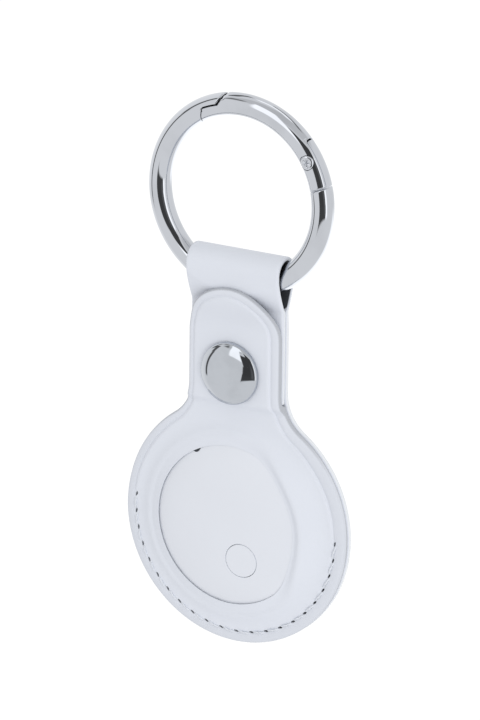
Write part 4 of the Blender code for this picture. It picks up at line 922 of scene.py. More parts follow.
def mark_edge_paint_and_light(piece, rim_and_border_shade=None):
    """Marks a sheet's walls, and where asked a share of its top face near the edge, for the edge colour:
    painted shade on the front leather, light edge paint with a painted highlight on the back.
    """
    mesh = piece.data
    painted = np.array([1.0 if len(face.vertices) == 4 else 0.0 for face in mesh.polygons])
    if rim_and_border_shade:
        painted = np.maximum(painted, rim_and_border_shade(np.array([face.center for face in mesh.polygons])))
    attribute = mesh.attributes.new("edge_paint_and_light", "FLOAT", "FACE")
    attribute.data.foreach_set("value", painted.astype(np.float32))


def front_length(z):
    """How far along the strap its front layer comes to a height."""
    return loop_round_z + crown_length + (loop_round_z - z)


def strap_outline(inset=0.0):
    """The flat pattern of back panel and strap, drawn in by a length or by a function of the way along."""
    corner_x, corner_s = STRAP_HALF - STRAP_CORNER, front_length(strap_end_z) - STRAP_CORNER
    top = arc((corner_x, corner_s), STRAP_CORNER, 0, 90)
    top += arc((-corner_x, corner_s), STRAP_CORNER, 90, 180) + [(-STRAP_HALF, corner_s)]
    outline = pouch_outline(STRAP_HALF, top)
    if callable(inset):
        inset = inset(outline[:, 1])[:, None]
    return outline + inward(outline) * inset


def out_of_loop(s):
    """1 where the strap's layers lie pressed together, and 0 in the loop round the ring."""
    past = front_length(bend_z)
    return 1 - ease(s, bend_z, bend_z + LOOP_OPENING) * (1 - ease(s, past - LOOP_OPENING, past))


def make_back_leather():
    """The back panel and the strap, one skin over the lining."""
    outline = strap_outline()
    outline = outline + inward(outline) * (EDGE_PUCKER * stitch_pull(outline))[:, None]
    holes = slit_corners()
    holes += [circle((0, snap_z), POST_HOLE_RADIUS), circle((0, front_length(snap_z)), STRAP_HOLE_RADIUS)]
    guides = [strap_outline(inset) for inset in (*EDGE_GUIDES, *RIM_BAND)]
    guides += [circle((0, pouch_z), radius) for radius in (BACK_FLAT, BACK_FOOT)]
    rim = closed(outline)

    def surface(points, face):
        gap = distance_to_line(points, rim)
        trim = edge_trim(gap, EDGE_ROUND if face else INNER_EDGE_ROUND)
        if face:
            from_seam = from_disc_centre(points) - STITCH_RADIUS
            groove = SEAM_GROOVE_DEPTH * np.exp(-(from_seam / SEAM_GROOVE_WIDTH) ** 2)
            trim = trim + BACK_STITCH_DIP * stitch_pull(points) + np.where(points[:, 1] < hinge_z, groove, 0)
        else:
            near_rim = 1 - ease(gap, *RIM_BAND)
            trim = trim - RIM_FILL * near_rim * out_of_loop(points[:, 1])
        return strap_space(points, face, trim)

    leather = cut_sheet("back_leather", outline, holes, guides, surface, back_leather_coat)
    mark_edge_paint_and_light(leather)
    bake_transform(leather)
    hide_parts("back_panel", "strap_loop", "strap_end")


make_back_leather()


# The pouch's front
# The front panel and its tongue, one skin of the same leather with the round window punched out. The
# window's rim is rolled down onto the tag and on the right has crept in over it, and a hot-pressed crease
# runs just inside the edge. A grey painted shade lies on the cut edges, along the rim and faintly on the
# border outside the crease.

TONGUE_HALF = 8.95 * mm
TONGUE_TIP_Z = hinge_z + 22.1 * mm
WINDOW_RADIUS = TAG_RADIUS - 1.83 * mm
WINDOW_CENTRE = (-0.26 * mm, pouch_z - 0.08 * mm)
WINDOW_RISE = 2.2 * mm
FRONT_FLAT, FRONT_FOOT = WINDOW_RADIUS - 1.4 * mm, TAG_RADIUS + 2.95 * mm
FRONT_RISE = WINDOW_RISE / float(ease(-WINDOW_RADIUS, -FRONT_FOOT, -FRONT_FLAT))
SHANK_HOLE_RADIUS = 1.35 * mm
TONGUE_STEP = 1.0 * mm
TONGUE_STEP_HEIGHT = 1.9 * mm
TONGUE_LEAN_LENGTH = 6.9 * mm
# Painted shade on the front: its grey edge colour over a band along the rim, a third as strong on the disc
# and full on the neck and tongue, and faint over the border outside the crease, fading upwards.
SHADED_RIM_BAND, RIM_SHADE_ON_DISC, BORDER_SHADE = (0.12 * mm, 0.40 * mm), 0.32, 0.17
SHADE_FADE_Z, BORDER_SHADE_FAINTER = (pouch_z + 10 * mm, hinge_z), 0.6
FRONT_STITCH_DIP = 0.16 * mm
RIM_TOUCH_GAP = 0.01 * mm
BELOW_STRAP_Z = (strap_end_z - 0.34 * mm, strap_end_z - 0.04 * mm)
RIM_ROLL_WIDTH = 2.6 * mm
RIM_THICK, RIM_THIN, RIM_GAP = 0.36 * mm, 0.05 * mm, 0.05 * mm
RIM_THICK_SIDE, RIM_CREEP_SIDE = (215, -0.5, 0.5), (10, 0.45, 1.0)
RIM_CREEP, RIM_ROLL_SHORTER = 1.5 * mm, 0.7 * mm
RIM_CUT_ROUND, RIM_THIN_SHARE = 0.12 * mm, 0.2
INNER_SEAT_WIDTH = 1.2 * mm
WINDOW_GUIDES = (0.04, 0.10, 0.2, 0.4, 0.65, 0.9, 1.2, 1.5, 1.9, 2.3, 2.7)
TAG_SEAM_Y = tag_high.y
TAG_DEPTH = TAG_SEAM_Y - tag_low.y
TAG_POWER = 2.7
CREASE_INSET_NECK, CREASE_INSET_DISC = 1.40 * mm, 1.85 * mm
CREASE_NECK_Z = (pouch_z + 0.6 * DISC_RADIUS, hinge_z + 3 * mm)
CREASE_HALF_WIDTH, CREASE_DEPTH = 0.22 * mm, 0.16 * mm
CREASE_ASKEW = 0.35 * mm
CREASE_GUIDES = (-2, -1, -0.5, 0, 0.5, 1, 2, 3)
FAINT_TOP_Z, FAINT_LOW_Z = pouch_z + 6 * mm, pouch_z - 2 * mm
CREASE_FAINTER, BORDER_FAINTER = 0.55, 0.8
BORDER_DROP, BORDER_SLOPE = 0.22 * mm, (-0.1 * mm, 0.45 * mm)
BORDER_FALL, BORDER_FALL_WIDTH = 0.24 * mm, 1.6 * mm
# Its edge colour is painted shade: a mid grey for the cut walls, the rim and the border.
front_leather_coat = coated_leather("white_coated_leather_front", LEATHER_WHITE, LEATHER_GRAIN,
                                    (0.46, 0.48, 0.52))


def shell_height(radius, edge, depth):
    """How far the tag's front dome stands over its seam, at a radius."""
    share = np.clip(radius / edge, 0, 1)
    return depth * np.maximum(1 - share ** TAG_POWER, 0) ** (1 / TAG_POWER)


def tag_dome_y(points):
    """Where the tag's front dome lies behind points of a flat pattern."""
    return TAG_SEAM_Y - shell_height(from_disc_centre(points), TAG_RADIUS, TAG_DEPTH)


def front_outline(inset=0.0):
    """The flat pattern of front panel and tongue."""
    tip = (0, TONGUE_TIP_Z - TONGUE_HALF)
    top = arc(tip, TONGUE_HALF, 0, 180) + [(-TONGUE_HALF, tip[1])]
    outline = pouch_outline(TONGUE_HALF, top)
    if not np.isscalar(inset):
        inset = inset[:, None]
    return outline + inward(outline) * inset


def tongue_shift(z):
    """How far the tongue stands in front of its place at the hinge."""
    step = TONGUE_STEP * ease(z, hinge_z, hinge_z + TONGUE_STEP_HEIGHT)
    return step + (LOOP_HALF_GAP - LAYER_HALF) * ease(z, belly_z - TONGUE_LEAN_LENGTH, belly_z)


def front_bulge(points):
    """How far the front panel and the tongue stand out from the flat."""
    return dome(from_disc_centre(points), FRONT_RISE, FRONT_FLAT, FRONT_FOOT) + tongue_shift(points[:, 1])


def crease_inset(around):
    """How far the crease lies from the edge: closer on the neck and tongue, and a little askew."""
    neck = ease(around[:, 1], *CREASE_NECK_Z)
    askew = CREASE_ASKEW * np.clip(around[:, 0] / STRAP_HALF, -1, 1)
    return CREASE_INSET_DISC + (CREASE_INSET_NECK - CREASE_INSET_DISC) * neck + askew


def rim_share(points, side_deg, low, high):
    """1 on one side of the window's rim and 0 on the far side."""
    around = points - np.array(WINDOW_CENTRE)
    side = np.array((math.cos(math.radians(side_deg)), math.sin(math.radians(side_deg))))
    return ease(around @ side / np.linalg.norm(around, axis=1), low, high)


def window_edge():
    """The window's edge: round, but on the right the leather has crept in over the tag."""
    turns = np.radians(np.arange(360))
    ways = np.stack([np.cos(turns), np.sin(turns)], axis=1)
    radius = WINDOW_RADIUS - RIM_CREEP * rim_share(np.array(WINDOW_CENTRE) + ways, *RIM_CREEP_SIDE)
    return np.array(WINDOW_CENTRE) + ways * radius[:, None]


def make_front_leather():
    """The front skin: domed over the tag, rolled at the window, creased and slit for the seam."""
    outline = front_outline()
    inset = crease_inset(outline)
    outline = outline + inward(outline) * (EDGE_PUCKER * stitch_pull(outline))[:, None]
    window = window_edge()
    guides = [front_outline(gap) for gap in EDGE_GUIDES]
    guides += [front_outline(inset + share * CREASE_HALF_WIDTH) for share in CREASE_GUIDES]
    centre = np.array(WINDOW_CENTRE)
    guides += [centre + (window - centre) * (1 + gap * mm / WINDOW_RADIUS) for gap in WINDOW_GUIDES]
    crease_line = closed(front_outline(inset))
    rim, window_rim = closed(outline), closed(window)

    def in_field(points):
        return inside(points, crease_line[:-1])

    def surface(points, face):
        z = points[:, 1]
        gap = distance_to_line(points, rim)
        bulge = front_bulge(points)
        from_window = distance_to_line(points, window_rim)
        thick = rim_share(points, *RIM_THICK_SIDE)
        full = RIM_THIN_SHARE + (1 - RIM_THIN_SHARE) * thick
        seat = RIM_GAP * full - tag_dome_y(points) - bulge
        if face:
            depth = PANEL_FAR - edge_trim(gap, EDGE_ROUND)
            crease = distance_to_line(points, crease_line)
            lower = ease(-z, -FAINT_TOP_Z, -FAINT_LOW_Z)
            pressed = CREASE_DEPTH * np.exp(-(crease / CREASE_HALF_WIDTH) ** 2)
            depth = depth - pressed * (1 - CREASE_FAINTER * lower)
            crease_gap = np.where(in_field(points), crease, -crease)
            border = 1 - ease(crease_gap, *BORDER_SLOPE)
            depth = depth - BORDER_DROP * (1 - BORDER_FAINTER * lower) * border
            depth = depth - BORDER_FALL * (1 - np.clip(gap / BORDER_FALL_WIDTH, 0, 1)) ** 2
            depth = depth - FRONT_STITCH_DIP * stitch_pull(points)
            seat = seat + RIM_THIN + (RIM_THICK - RIM_THIN) * thick
            roll = RIM_ROLL_WIDTH - RIM_ROLL_SHORTER * rim_share(points, *RIM_CREEP_SIDE)
            depth = depth + (seat - depth) * (1 - ease(from_window / roll, 0, 1))
            depth = depth - edge_trim(from_window, RIM_CUT_ROUND) * full
        else:
            near_rim = 1 - ease(gap, *RIM_BAND)
            depth = PANEL_NEAR - (PANEL_NEAR - RIM_TOUCH_GAP) * near_rim + edge_trim(gap, INNER_EDGE_ROUND)
            depth = depth - near_rim * (1 - ease(z, *BELOW_STRAP_Z)) * tongue_shift(z)
            depth = depth + (seat - depth) * (1 - ease(from_window, 0, INNER_SEAT_WIDTH))
        return np.stack([points[:, 0], -(depth + bulge), z], axis=1)

    # Painted shade: the share of the grey edge colour on the top face near the rim and on the border.
    def rim_and_border_shade(middles):
        flat = middles[:, (0, 2)]
        near = 1 - ease(distance_to_line(flat, rim), *SHADED_RIM_BAND)
        up = ease(flat[:, 1], *SHADE_FADE_Z)
        border = np.where(in_field(flat), 0.0, BORDER_SHADE * (1 - BORDER_SHADE_FAINTER * up))
        return np.maximum(border, near * (RIM_SHADE_ON_DISC + (1 - RIM_SHADE_ON_DISC) * up))

    holes = slit_corners() + [window, circle((0, snap_z), SHANK_HOLE_RADIUS)]
    leather = cut_sheet("front_leather", outline, holes, guides, surface, front_leather_coat)
    mark_edge_paint_and_light(leather, rim_and_border_shade)
    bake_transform(leather)
    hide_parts("front_panel", "front_tongue")


make_front_leather()


# The linings
# A thin dark grey suede glued inside every leather, cut a little smaller. It shows inside the strap's
# loop, through the stitch slits and as a dark crescent at the window's rim, where it is also painted
# shadow of the gap under the rim.

PANEL_LINED, STRAP_LINED = 0.25 * mm, 0.20 * mm
LINING_INSET, LOOP_LINING_INSET = 1.45 * mm, 0.22 * mm
LINING_STEP = 0.8 * mm
LINING_GAP = 0.03 * mm
LINING_WINDOW_ROOM = 1.0 * mm
# The sliver is a dark sheet on the tag's face, part lining and part painted shadow under the window's rim.
SLIVER_DEG, SLIVER_HALF_DEG, SLIVER_DEPTH = 118.0, 3.4, 0.46 * mm
SLIVER_TUCK, SLIVER_LIFTS, SLIVER_STEP = 0.35 * mm, (0.004 * mm, 0.03 * mm), 0.2 * mm
SLIVER_POINTS = 21
STUD_HOLE_RADIUS, SOCKET_HOLE_RADIUS = 3.45 * mm, 3.95 * mm


def suede(name, tint):
    """Dark suede: a short nap, soft patches and a faint sheen."""
    material, shader = make_new_material(name)
    place = add_node(material, "TexCoord").outputs["Object"]
    nap = noise(material, place, 1500.0, 6.0, 0.7)
    colour = two_tone(material, noise(material, place, 220.0, 3.0), tint, 0.78, 1.18, 0.35, 0.68)
    rough = add_node(material, "MapRange", {0: nap, 3: 0.80, 4: 0.95})
    bump = add_node(material, "Bump", {"Strength": 0.5, "Distance": 0.05 * mm, "Height": nap})
    finish_shader(material, shader, colour, rough.outputs[0], bump.outputs[0])
    shader.inputs["Specular IOR Level"].default_value = 0.2
    shader.inputs["Sheen Weight"].default_value = 0.25
    shader.inputs["Sheen Roughness"].default_value = 0.5
    return material


grey_suede = suede("grey_suede_lining", (0.048, 0.054, 0.063))


def make_back_lining():
    """The lining of back panel and strap, holed for the snap's stud and socket."""
    def inset(s):
        return LINING_INSET + (LOOP_LINING_INSET - LINING_INSET) * (1 - out_of_loop(s))

    outline = strap_outline(inset)
    holes = [circle((0, snap_z), STUD_HOLE_RADIUS), circle((0, front_length(snap_z)), STRAP_HOLE_RADIUS)]

    def surface(points, face):
        spots = strap_space(points, 0.0, np.zeros(len(points)))
        inner = strap_space(points, 0.0, np.full(len(points), -1.0 * mm))
        on_panel = 1 - ease(points[:, 1], *THINNING_Z)
        thick = STRAP_LINED + (PANEL_LINED - STRAP_LINED) * on_panel
        deep = LINING_GAP + (0.0 if face else 1.0) * (thick - LINING_GAP)
        return spots + (inner - spots) / mm * deep[:, None]

    lining = cut_sheet("back_lining_suede", outline, holes, [], surface, grey_suede, LINING_STEP)
    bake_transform(lining)
    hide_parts("back_lining", "strap_loop_lining", "strap_end_lining")


def make_front_lining():
    """The lining of front panel and tongue, holed for the window and the snap's socket."""
    outline = front_outline(LINING_INSET)
    holes = [circle(WINDOW_CENTRE, WINDOW_RADIUS + LINING_WINDOW_ROOM),
             circle((0, snap_z), SOCKET_HOLE_RADIUS)]

    def surface(points, face):
        depth = LAYER_HALF + (PANEL_LINED if face else 0.0)
        return np.stack([points[:, 0], -(depth + front_bulge(points)), points[:, 1]], axis=1)

    lining = cut_sheet("front_lining_suede", outline, holes, [], surface, grey_suede, LINING_STEP)
    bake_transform(lining)
    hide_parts("front_lining", "tongue_lining")


def make_lining_sliver_and_shadow():
    """The front lining's edge, a dark crescent on the tag where the window's rim has stretched over it:
    part lining, part painted shadow of the gap under the rim.
    """
    shares = np.linspace(-1, 1, SLIVER_POINTS)
    turns = np.radians(SLIVER_DEG + SLIVER_HALF_DEG * shares)
    ways = np.stack([np.cos(turns), np.sin(turns)], axis=1)
    inner = WINDOW_RADIUS - SLIVER_DEPTH * (1 - shares ** 2)
    outer = WINDOW_RADIUS + SLIVER_TUCK
    outline = np.concatenate([ways * outer, (ways * inner[:, None])[::-1]]) + np.array(WINDOW_CENTRE)

    def surface(points, face):
        return np.stack([points[:, 0], tag_dome_y(points) - SLIVER_LIFTS[face], points[:, 1]], axis=1)

    sliver = cut_sheet("front_lining_sliver_shadow", outline, [], [], surface, grey_suede, SLIVER_STEP)
    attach(sliver, "holder")


make_back_lining()
make_front_lining()
make_lining_sliver_and_shadow()


# The seam
# A saddle stitch in waxed white thread round the pouch's lower half, through slanted slits punched in
# both leathers. Each stitch lies proud on both faces and dives into a slit at each end.

THREAD_RADIUS = 0.19 * mm
STITCH_SPAN_SHARE = 0.80
STITCH_ARCH = 0.26 * mm
STITCH_SLANT = 0.16
STITCH_SUNK = 0.10 * mm
STITCH_STEPS = 18
DIVE_SHARE, CREST_SHARE, SHOULDER_SHARE = -1.6, 1.5, 0.9
STRANDS, STRAND_SHARE, TWIST = 3, 0.72, 7.5


def stitch_tree(material):
    """Stitches along an arc: named sizes in, one solid mesh of twisted thread out."""
    tree = bpy.data.node_groups.new("saddle_stitches", "GeometryNodeTree")
    face = tree.interface
    face.new_socket("Geometry", in_out="OUTPUT", socket_type="NodeSocketGeometry")
    wanted = {"Seam Radius": STITCH_RADIUS, "First Angle": 0.0, "Last Angle": 1.0, "Lift": 0.0,
              "Span": 1.0 * mm, "Arch": STITCH_ARCH, "Thread Radius": THREAD_RADIUS, "Slant": 0.2,
              "Turn": 0.0}
    for name, value in wanted.items():
        face.new_socket(name, in_out="INPUT", socket_type="NodeSocketFloat").default_value = value
    count = face.new_socket("Stitches", in_out="INPUT", socket_type="NodeSocketInt")
    count.default_value = STITCH_COUNT - 1
    nodes, links = tree.nodes, tree.links
    given = nodes.new("NodeGroupInput").outputs

    def node(kind, inputs, **values):
        made = nodes.new(kind)
        for name, value in values.items():
            setattr(made, name, value)
        for key, value in inputs.items():
            if isinstance(value, bpy.types.NodeSocket):
                links.new(value, made.inputs[key])
            else:
                made.inputs[key].default_value = value
        return made

    def sum_of(operation, first, second):
        return node("ShaderNodeMath", {0: first, 1: second}, operation=operation).outputs[0]

    sweep = sum_of("SUBTRACT", given["Last Angle"], given["First Angle"])
    seam = node("GeometryNodeCurveArc", {"Resolution": given["Stitches"], "Radius": given["Seam Radius"],
                                         "Start Angle": given["First Angle"], "Sweep Angle": sweep})
    spots = node("GeometryNodeCurveToPoints", {"Curve": seam.outputs["Curve"]}, mode="EVALUATED")
    facing = node("FunctionNodeAlignRotationToVector", {"Vector": spots.outputs["Tangent"]}, axis="X",
                  pivot_axis="Z")
    slanted = node("FunctionNodeRotateRotation",
                   {"Rotation": facing.outputs[0],
                    "Rotate By": node("FunctionNodeAxisAngleToRotation",
                                      {"Axis": (0, 0, 1), "Angle": given["Slant"]}).outputs[0]},
                   rotation_space="LOCAL")
    half = sum_of("MULTIPLY", given["Span"], 0.5)

    def spot(along, up):
        return node("ShaderNodeCombineXYZ", {"X": sum_of("MULTIPLY", half, along),
                                             "Z": sum_of("MULTIPLY", given["Arch"], up)}).outputs[0]

    path = node("GeometryNodeCurvePrimitiveBezierSegment",
                {"Resolution": STITCH_STEPS, "Start": spot(-1.0, DIVE_SHARE), "End": spot(1.0, DIVE_SHARE),
                 "Start Handle": spot(-SHOULDER_SHARE, CREST_SHARE),
                 "End Handle": spot(SHOULDER_SHARE, CREST_SHARE)}, mode="POSITION")
    share = node("GeometryNodeSplineParameter", {})
    tilt = sum_of("MULTIPLY", share.outputs["Factor"], TWIST)
    twist = node("GeometryNodeSetCurveTilt", {0: path.outputs[0], "Tilt": tilt})
    dent = sum_of("MULTIPLY", given["Thread Radius"], STRAND_SHARE)
    strands = node("GeometryNodeCurveStar", {"Points": STRANDS, "Inner Radius": dent,
                                             "Outer Radius": given["Thread Radius"]})
    smooth = node("GeometryNodeSubdivideCurve", {0: strands.outputs[0], "Cuts": 1})
    thread = node("GeometryNodeCurveToMesh", {"Curve": twist.outputs[0], "Profile Curve": smooth.outputs[0],
                                              "Fill Caps": True})
    row = node("GeometryNodeInstanceOnPoints", {"Points": spots.outputs["Points"],
                                                "Instance": thread.outputs[0],
                                                "Rotation": slanted.outputs[0]})
    lift = node("ShaderNodeCombineXYZ", {"Z": given["Lift"]})
    turn = node("ShaderNodeCombineXYZ", {"X": given["Turn"]})
    lifted = node("GeometryNodeTransform", {"Geometry": row.outputs[0], "Translation": lift.outputs[0]})
    stood = node("GeometryNodeTransform", {"Geometry": lifted.outputs[0], "Rotation": turn.outputs[0]})
    placed = node("GeometryNodeTransform", {"Geometry": stood.outputs[0],
                                            "Translation": (0, 0, pouch_z)})
    real = node("GeometryNodeRealizeInstances", {"Geometry": placed.outputs[0]})
    painted = node("GeometryNodeSetMaterial", {"Geometry": real.outputs[0], "Material": material})
    links.new(painted.outputs[0], nodes.new("NodeGroupOutput").inputs[0])
    return tree


def waxed_thread(name, tint):
    """Waxed polyester thread: fine fibres under uneven wax."""
    material, shader = make_new_material(name)
    place = add_node(material, "TexCoord").outputs["Object"]
    fibre = noise(material, place, 9000.0, 3.0)
    colour = two_tone(material, fibre, tint, 0.88)
    rough = add_node(material, "MapRange", {0: fibre, 3: 0.50, 4: 0.75})
    bump = add_node(material, "Bump", {"Strength": 0.4, "Distance": 0.02 * mm, "Height": fibre})
    finish_shader(material, shader, colour, rough.outputs[0], bump.outputs[0])
    return material


white_thread = waxed_thread("white_waxed_thread", (0.78, 0.81, 0.87))
stitches = stitch_tree(white_thread)


def sew(name, node_name, facing):
    """One face's row of stitches, made real from the tree."""
    pitch = math.radians(STITCH_LAST_DEG - STITCH_FIRST_DEG) / (STITCH_COUNT - 1)
    first = math.radians(STITCH_FIRST_DEG) + 0.5 * pitch
    last = math.radians(STITCH_LAST_DEG) - 0.5 * pitch
    values = {"Seam Radius": STITCH_RADIUS, "First Angle": -facing * first, "Last Angle": -facing * last,
              "Lift": PANEL_FAR - STITCH_SUNK, "Span": STITCH_SPAN_SHARE * pitch * STITCH_RADIUS,
              "Arch": STITCH_ARCH, "Thread Radius": THREAD_RADIUS, "Slant": STITCH_SLANT * facing,
              "Turn": -facing * 0.5 * math.pi, "Stitches": STITCH_COUNT - 1}
    row = bpy.data.objects.new(name, bpy.data.meshes.new(name))
    bpy.context.scene.collection.objects.link(row)
    modifier = row.modifiers.new("stitches", "NODES")
    modifier.node_group = stitches
    for item in stitches.interface.items_tree:
        if item.in_out == "INPUT":
            modifier[item.identifier] = values[item.name]
    settle(row)
    row.data.shade_smooth()
    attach(row, "holder")
    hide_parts(node_name)


sew("seam_thread_front", "stitching_front", -1)
sew("seam_thread_back", "stitching_back", 1)


# The snap
# A pressed steel snap with bright plate. The domed cap is clinched through the tongue onto its socket,
# and the stud on the neck is held by a rivet whose low domed head shows on the back.

CAP_RADIUS = 0.5 * (cap_high.x - cap_low.x) - 0.04 * mm
CAP_CENTRE = (-0.38 * mm, snap_z - 0.20 * mm)
CAP_BASE_Y, CAP_TOP_Y = -2.305 * mm, cap_low.y
CAP_RIM_HEIGHT = 0.8 * mm
CAP_SHEET = 0.35 * mm
CAP_CROWN_POWER, CROWN_SHARE = 4.0, 0.82
CROWN_STEPS, SHOULDER_STEPS = 56, 12
CAP_SHOULDER, SHOULDER_DROP = 0.42 * mm, 0.62 * mm
CAP_ROLL = ((0, 0.14 * mm), (0.05 * mm, 0.04 * mm), (0.16 * mm, 0))
HOLLOW_LIP, HOLLOW_FLAT_SHARE = 0.2 * mm, 0.6
SHANK_RADIUS, SHANK_END_Y = 1.2 * mm, -1.025 * mm
CAP_SIDES, TURNED_SIDES = 240, 128
post_low, post_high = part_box("snap_post")
POST_TIP_RADIUS, POST_RADIUS, POST_BEVEL = 0.78 * mm, 0.85 * mm, 0.1 * mm
HEAD_SEAT, HEAD_EDGE, HEAD_EDGE_BACK = 0.03 * mm, 0.06 * mm, 0.08 * mm
HEAD_STEPS, HEAD_FALL_POWER, HEAD_RISE_POWER = 20, 0.8, 0.75


def turn_piece(name, profile, centre, material, sharp_deg=32, sides=TURNED_SIDES):
    """A piece turned about an axis along Y, from a closed profile of radius and Y."""
    centre_x, centre_z = centre
    points, starts, faces = [], [], []
    for radius, y in profile:
        starts.append(len(points))
        spokes = 1 if radius == 0 else sides
        for step in range(spokes):
            angle = math.tau * step / sides
            points.append((centre_x + radius * math.cos(angle), y, centre_z + radius * math.sin(angle)))
    for here in range(len(profile)):
        there = (here + 1) % len(profile)
        a, b = starts[here], starts[there]
        first_axis, next_axis = profile[here][0] == 0, profile[there][0] == 0
        if first_axis and next_axis:
            continue
        for step in range(sides):
            turn = (step + 1) % sides
            if first_axis:
                faces.append((a, b + step, b + turn))
            elif next_axis:
                faces.append((a + turn, a + step, b))
            else:
                faces.append((a + step, b + step, b + turn, a + turn))
    return link_mesh(name, points, faces, material, sharp_deg)


cap_plate = plated_metal("snap_nickel_plate", (0.515, 0.540, 0.580), 0.03, 0.04, 1.4)


def make_cap():
    """The snap's cap: a pressed dome with a rolled shoulder, and its shank through the tongue."""
    rim_y = CAP_BASE_Y - CAP_RIM_HEIGHT
    crown_fall = CROWN_SHARE * (rim_y - CAP_TOP_Y)
    crown_radius = CAP_RADIUS - CAP_SHOULDER
    profile = [(0, CAP_TOP_Y)]
    for step in range(1, CROWN_STEPS + 1):
        share = step / CROWN_STEPS
        profile.append((share * crown_radius, CAP_TOP_Y + crown_fall * share ** CAP_CROWN_POWER))
    start_slope = math.atan(crown_fall * CAP_CROWN_POWER / crown_radius)
    for step in range(1, SHOULDER_STEPS + 1):
        angle = start_slope + (0.5 * math.pi - start_slope) * step / SHOULDER_STEPS
        across = (math.sin(angle) - math.sin(start_slope)) / (1 - math.sin(start_slope))
        drop = (math.cos(start_slope) - math.cos(angle)) / math.cos(start_slope)
        profile.append((crown_radius + CAP_SHOULDER * across, CAP_TOP_Y + crown_fall + SHOULDER_DROP * drop))
    profile += [(CAP_RADIUS - back, CAP_BASE_Y - up) for back, up in CAP_ROLL]
    hollow, inner_y = CAP_RADIUS - CAP_SHEET, rim_y - CAP_SHEET
    profile += [(hollow, CAP_BASE_Y), (hollow, rim_y + HOLLOW_LIP),
                (HOLLOW_FLAT_SHARE * CAP_RADIUS, inner_y), (SHANK_RADIUS, inner_y),
                (SHANK_RADIUS, SHANK_END_Y), (0, SHANK_END_Y)]
    cap = turn_piece("snap_cap_dome", profile, CAP_CENTRE, cap_plate, RIVET_SHARP_DEG, CAP_SIDES)
    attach(cap, "tongue")
    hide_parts("snap_cap")


def make_post():
    """The rivet that holds the stud, with its low domed head on the back."""
    head_radius = 0.5 * (post_high.x - post_low.x)
    seat = PANEL_FAR + HEAD_SEAT
    edge = seat + HEAD_EDGE
    profile = [(0, post_low.y), (POST_TIP_RADIUS, post_low.y), (POST_RADIUS, post_low.y + POST_BEVEL),
               (POST_RADIUS, seat), (head_radius - HEAD_EDGE_BACK, seat), (head_radius, edge)]
    for step in range(1, HEAD_STEPS + 1):
        angle = 0.5 * math.pi * step / HEAD_STEPS
        radius = head_radius * math.cos(angle) ** HEAD_FALL_POWER if step < HEAD_STEPS else 0
        profile.append((radius, edge + (post_high.y - edge) * math.sin(angle) ** HEAD_RISE_POWER))
    post = turn_piece("snap_rivet", profile, (0, snap_z), cap_plate, RIVET_SHARP_DEG)
    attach(post, "holder")
    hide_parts("snap_post")


make_cap()
make_post()
coat_node("snap_socket", cap_plate)
coat_node("snap_stud", cap_plate)
coat_node("snap_clasp_spring", spring_wire)


# The tracker tag
# A round tag with a polished white shell, a press button set flush in it and a turned steel back cover.
# It lies loose in the pouch, behind the window.

TAG_WALL = 0.9 * mm
button_low, button_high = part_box("tag_button")
button_centre = (0.5 * (button_low.x + button_high.x), 0.5 * (button_low.z + button_high.z))
BUTTON_RADIUS = 2.95 * mm
BUTTON_GAP = 0.08 * mm
BUTTON_THICK, FLANGE_THICK, FLANGE_SIDES = 0.3 * mm, 0.29 * mm, 64
BUTTON_EDGE_ROUND = 0.09 * mm
SHELL_GUIDE_SHARES = (0.9995, 0.998, 0.995, 0.99, 0.98, 0.965, 0.945, 0.92)
BUTTON_GUIDES = [gap * mm for gap in (0.03, 0.08, 0.16)]
HOLE_GUIDES = [*BUTTON_GUIDES, 0.3 * mm]
SHELL_STEP, BUTTON_STEP = 0.7 * mm, 0.5 * mm
SHELL_SHARP_DEG = 60


def polished_plastic(name, tint):
    """Polished white plastic, with a faint moulding haze and fine scuffs."""
    material, shader = make_new_material(name)
    place = add_node(material, "TexCoord").outputs["Object"]
    scuff = noise(material, place, 2200.0, 2.0)
    colour = two_tone(material, noise(material, place, 90.0, 3.0), tint, 0.985, 1.0, 0.3, 0.7)
    rough = add_node(material, "MapRange", {0: scuff, 1: 0.3, 2: 0.8, 3: 0.28, 4: 0.42})
    bump = add_node(material, "Bump", {"Strength": 0.03, "Distance": 0.02 * mm, "Height": scuff})
    finish_shader(material, shader, colour, rough.outputs[0], bump.outputs[0])
    shader.inputs["Specular IOR Level"].default_value = 0.4
    return material


white_plastic = polished_plastic("white_polished_shell", (0.745, 0.770, 0.825))


def make_tag_shell():
    """The tag's front shell, with the round hole for its button."""
    outline = circle((0, pouch_z), TAG_RADIUS)
    hole_radius = BUTTON_RADIUS + BUTTON_GAP
    hole = circle(button_centre, hole_radius)
    guides = [circle((0, pouch_z), share * TAG_RADIUS) for share in SHELL_GUIDE_SHARES]
    guides += [circle(button_centre, hole_radius + gap) for gap in HOLE_GUIDES]
    hole_rim = closed(hole)
    inner_radius = TAG_RADIUS - TAG_WALL

    def surface(points, face):
        if face:
            y = tag_dome_y(points) + edge_trim(distance_to_line(points, hole_rim), BUTTON_EDGE_ROUND)
        else:
            radius = from_disc_centre(points) * inner_radius / TAG_RADIUS
            y = TAG_SEAM_Y - shell_height(radius, inner_radius, TAG_DEPTH - TAG_WALL)
        return np.stack([points[:, 0], y, points[:, 1]], axis=1)

    shell = cut_sheet("tag_shell", outline, [hole], guides, surface, white_plastic, SHELL_STEP,
                      SHELL_SHARP_DEG)
    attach(shell, "tag")
    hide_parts("tag_front_shell")


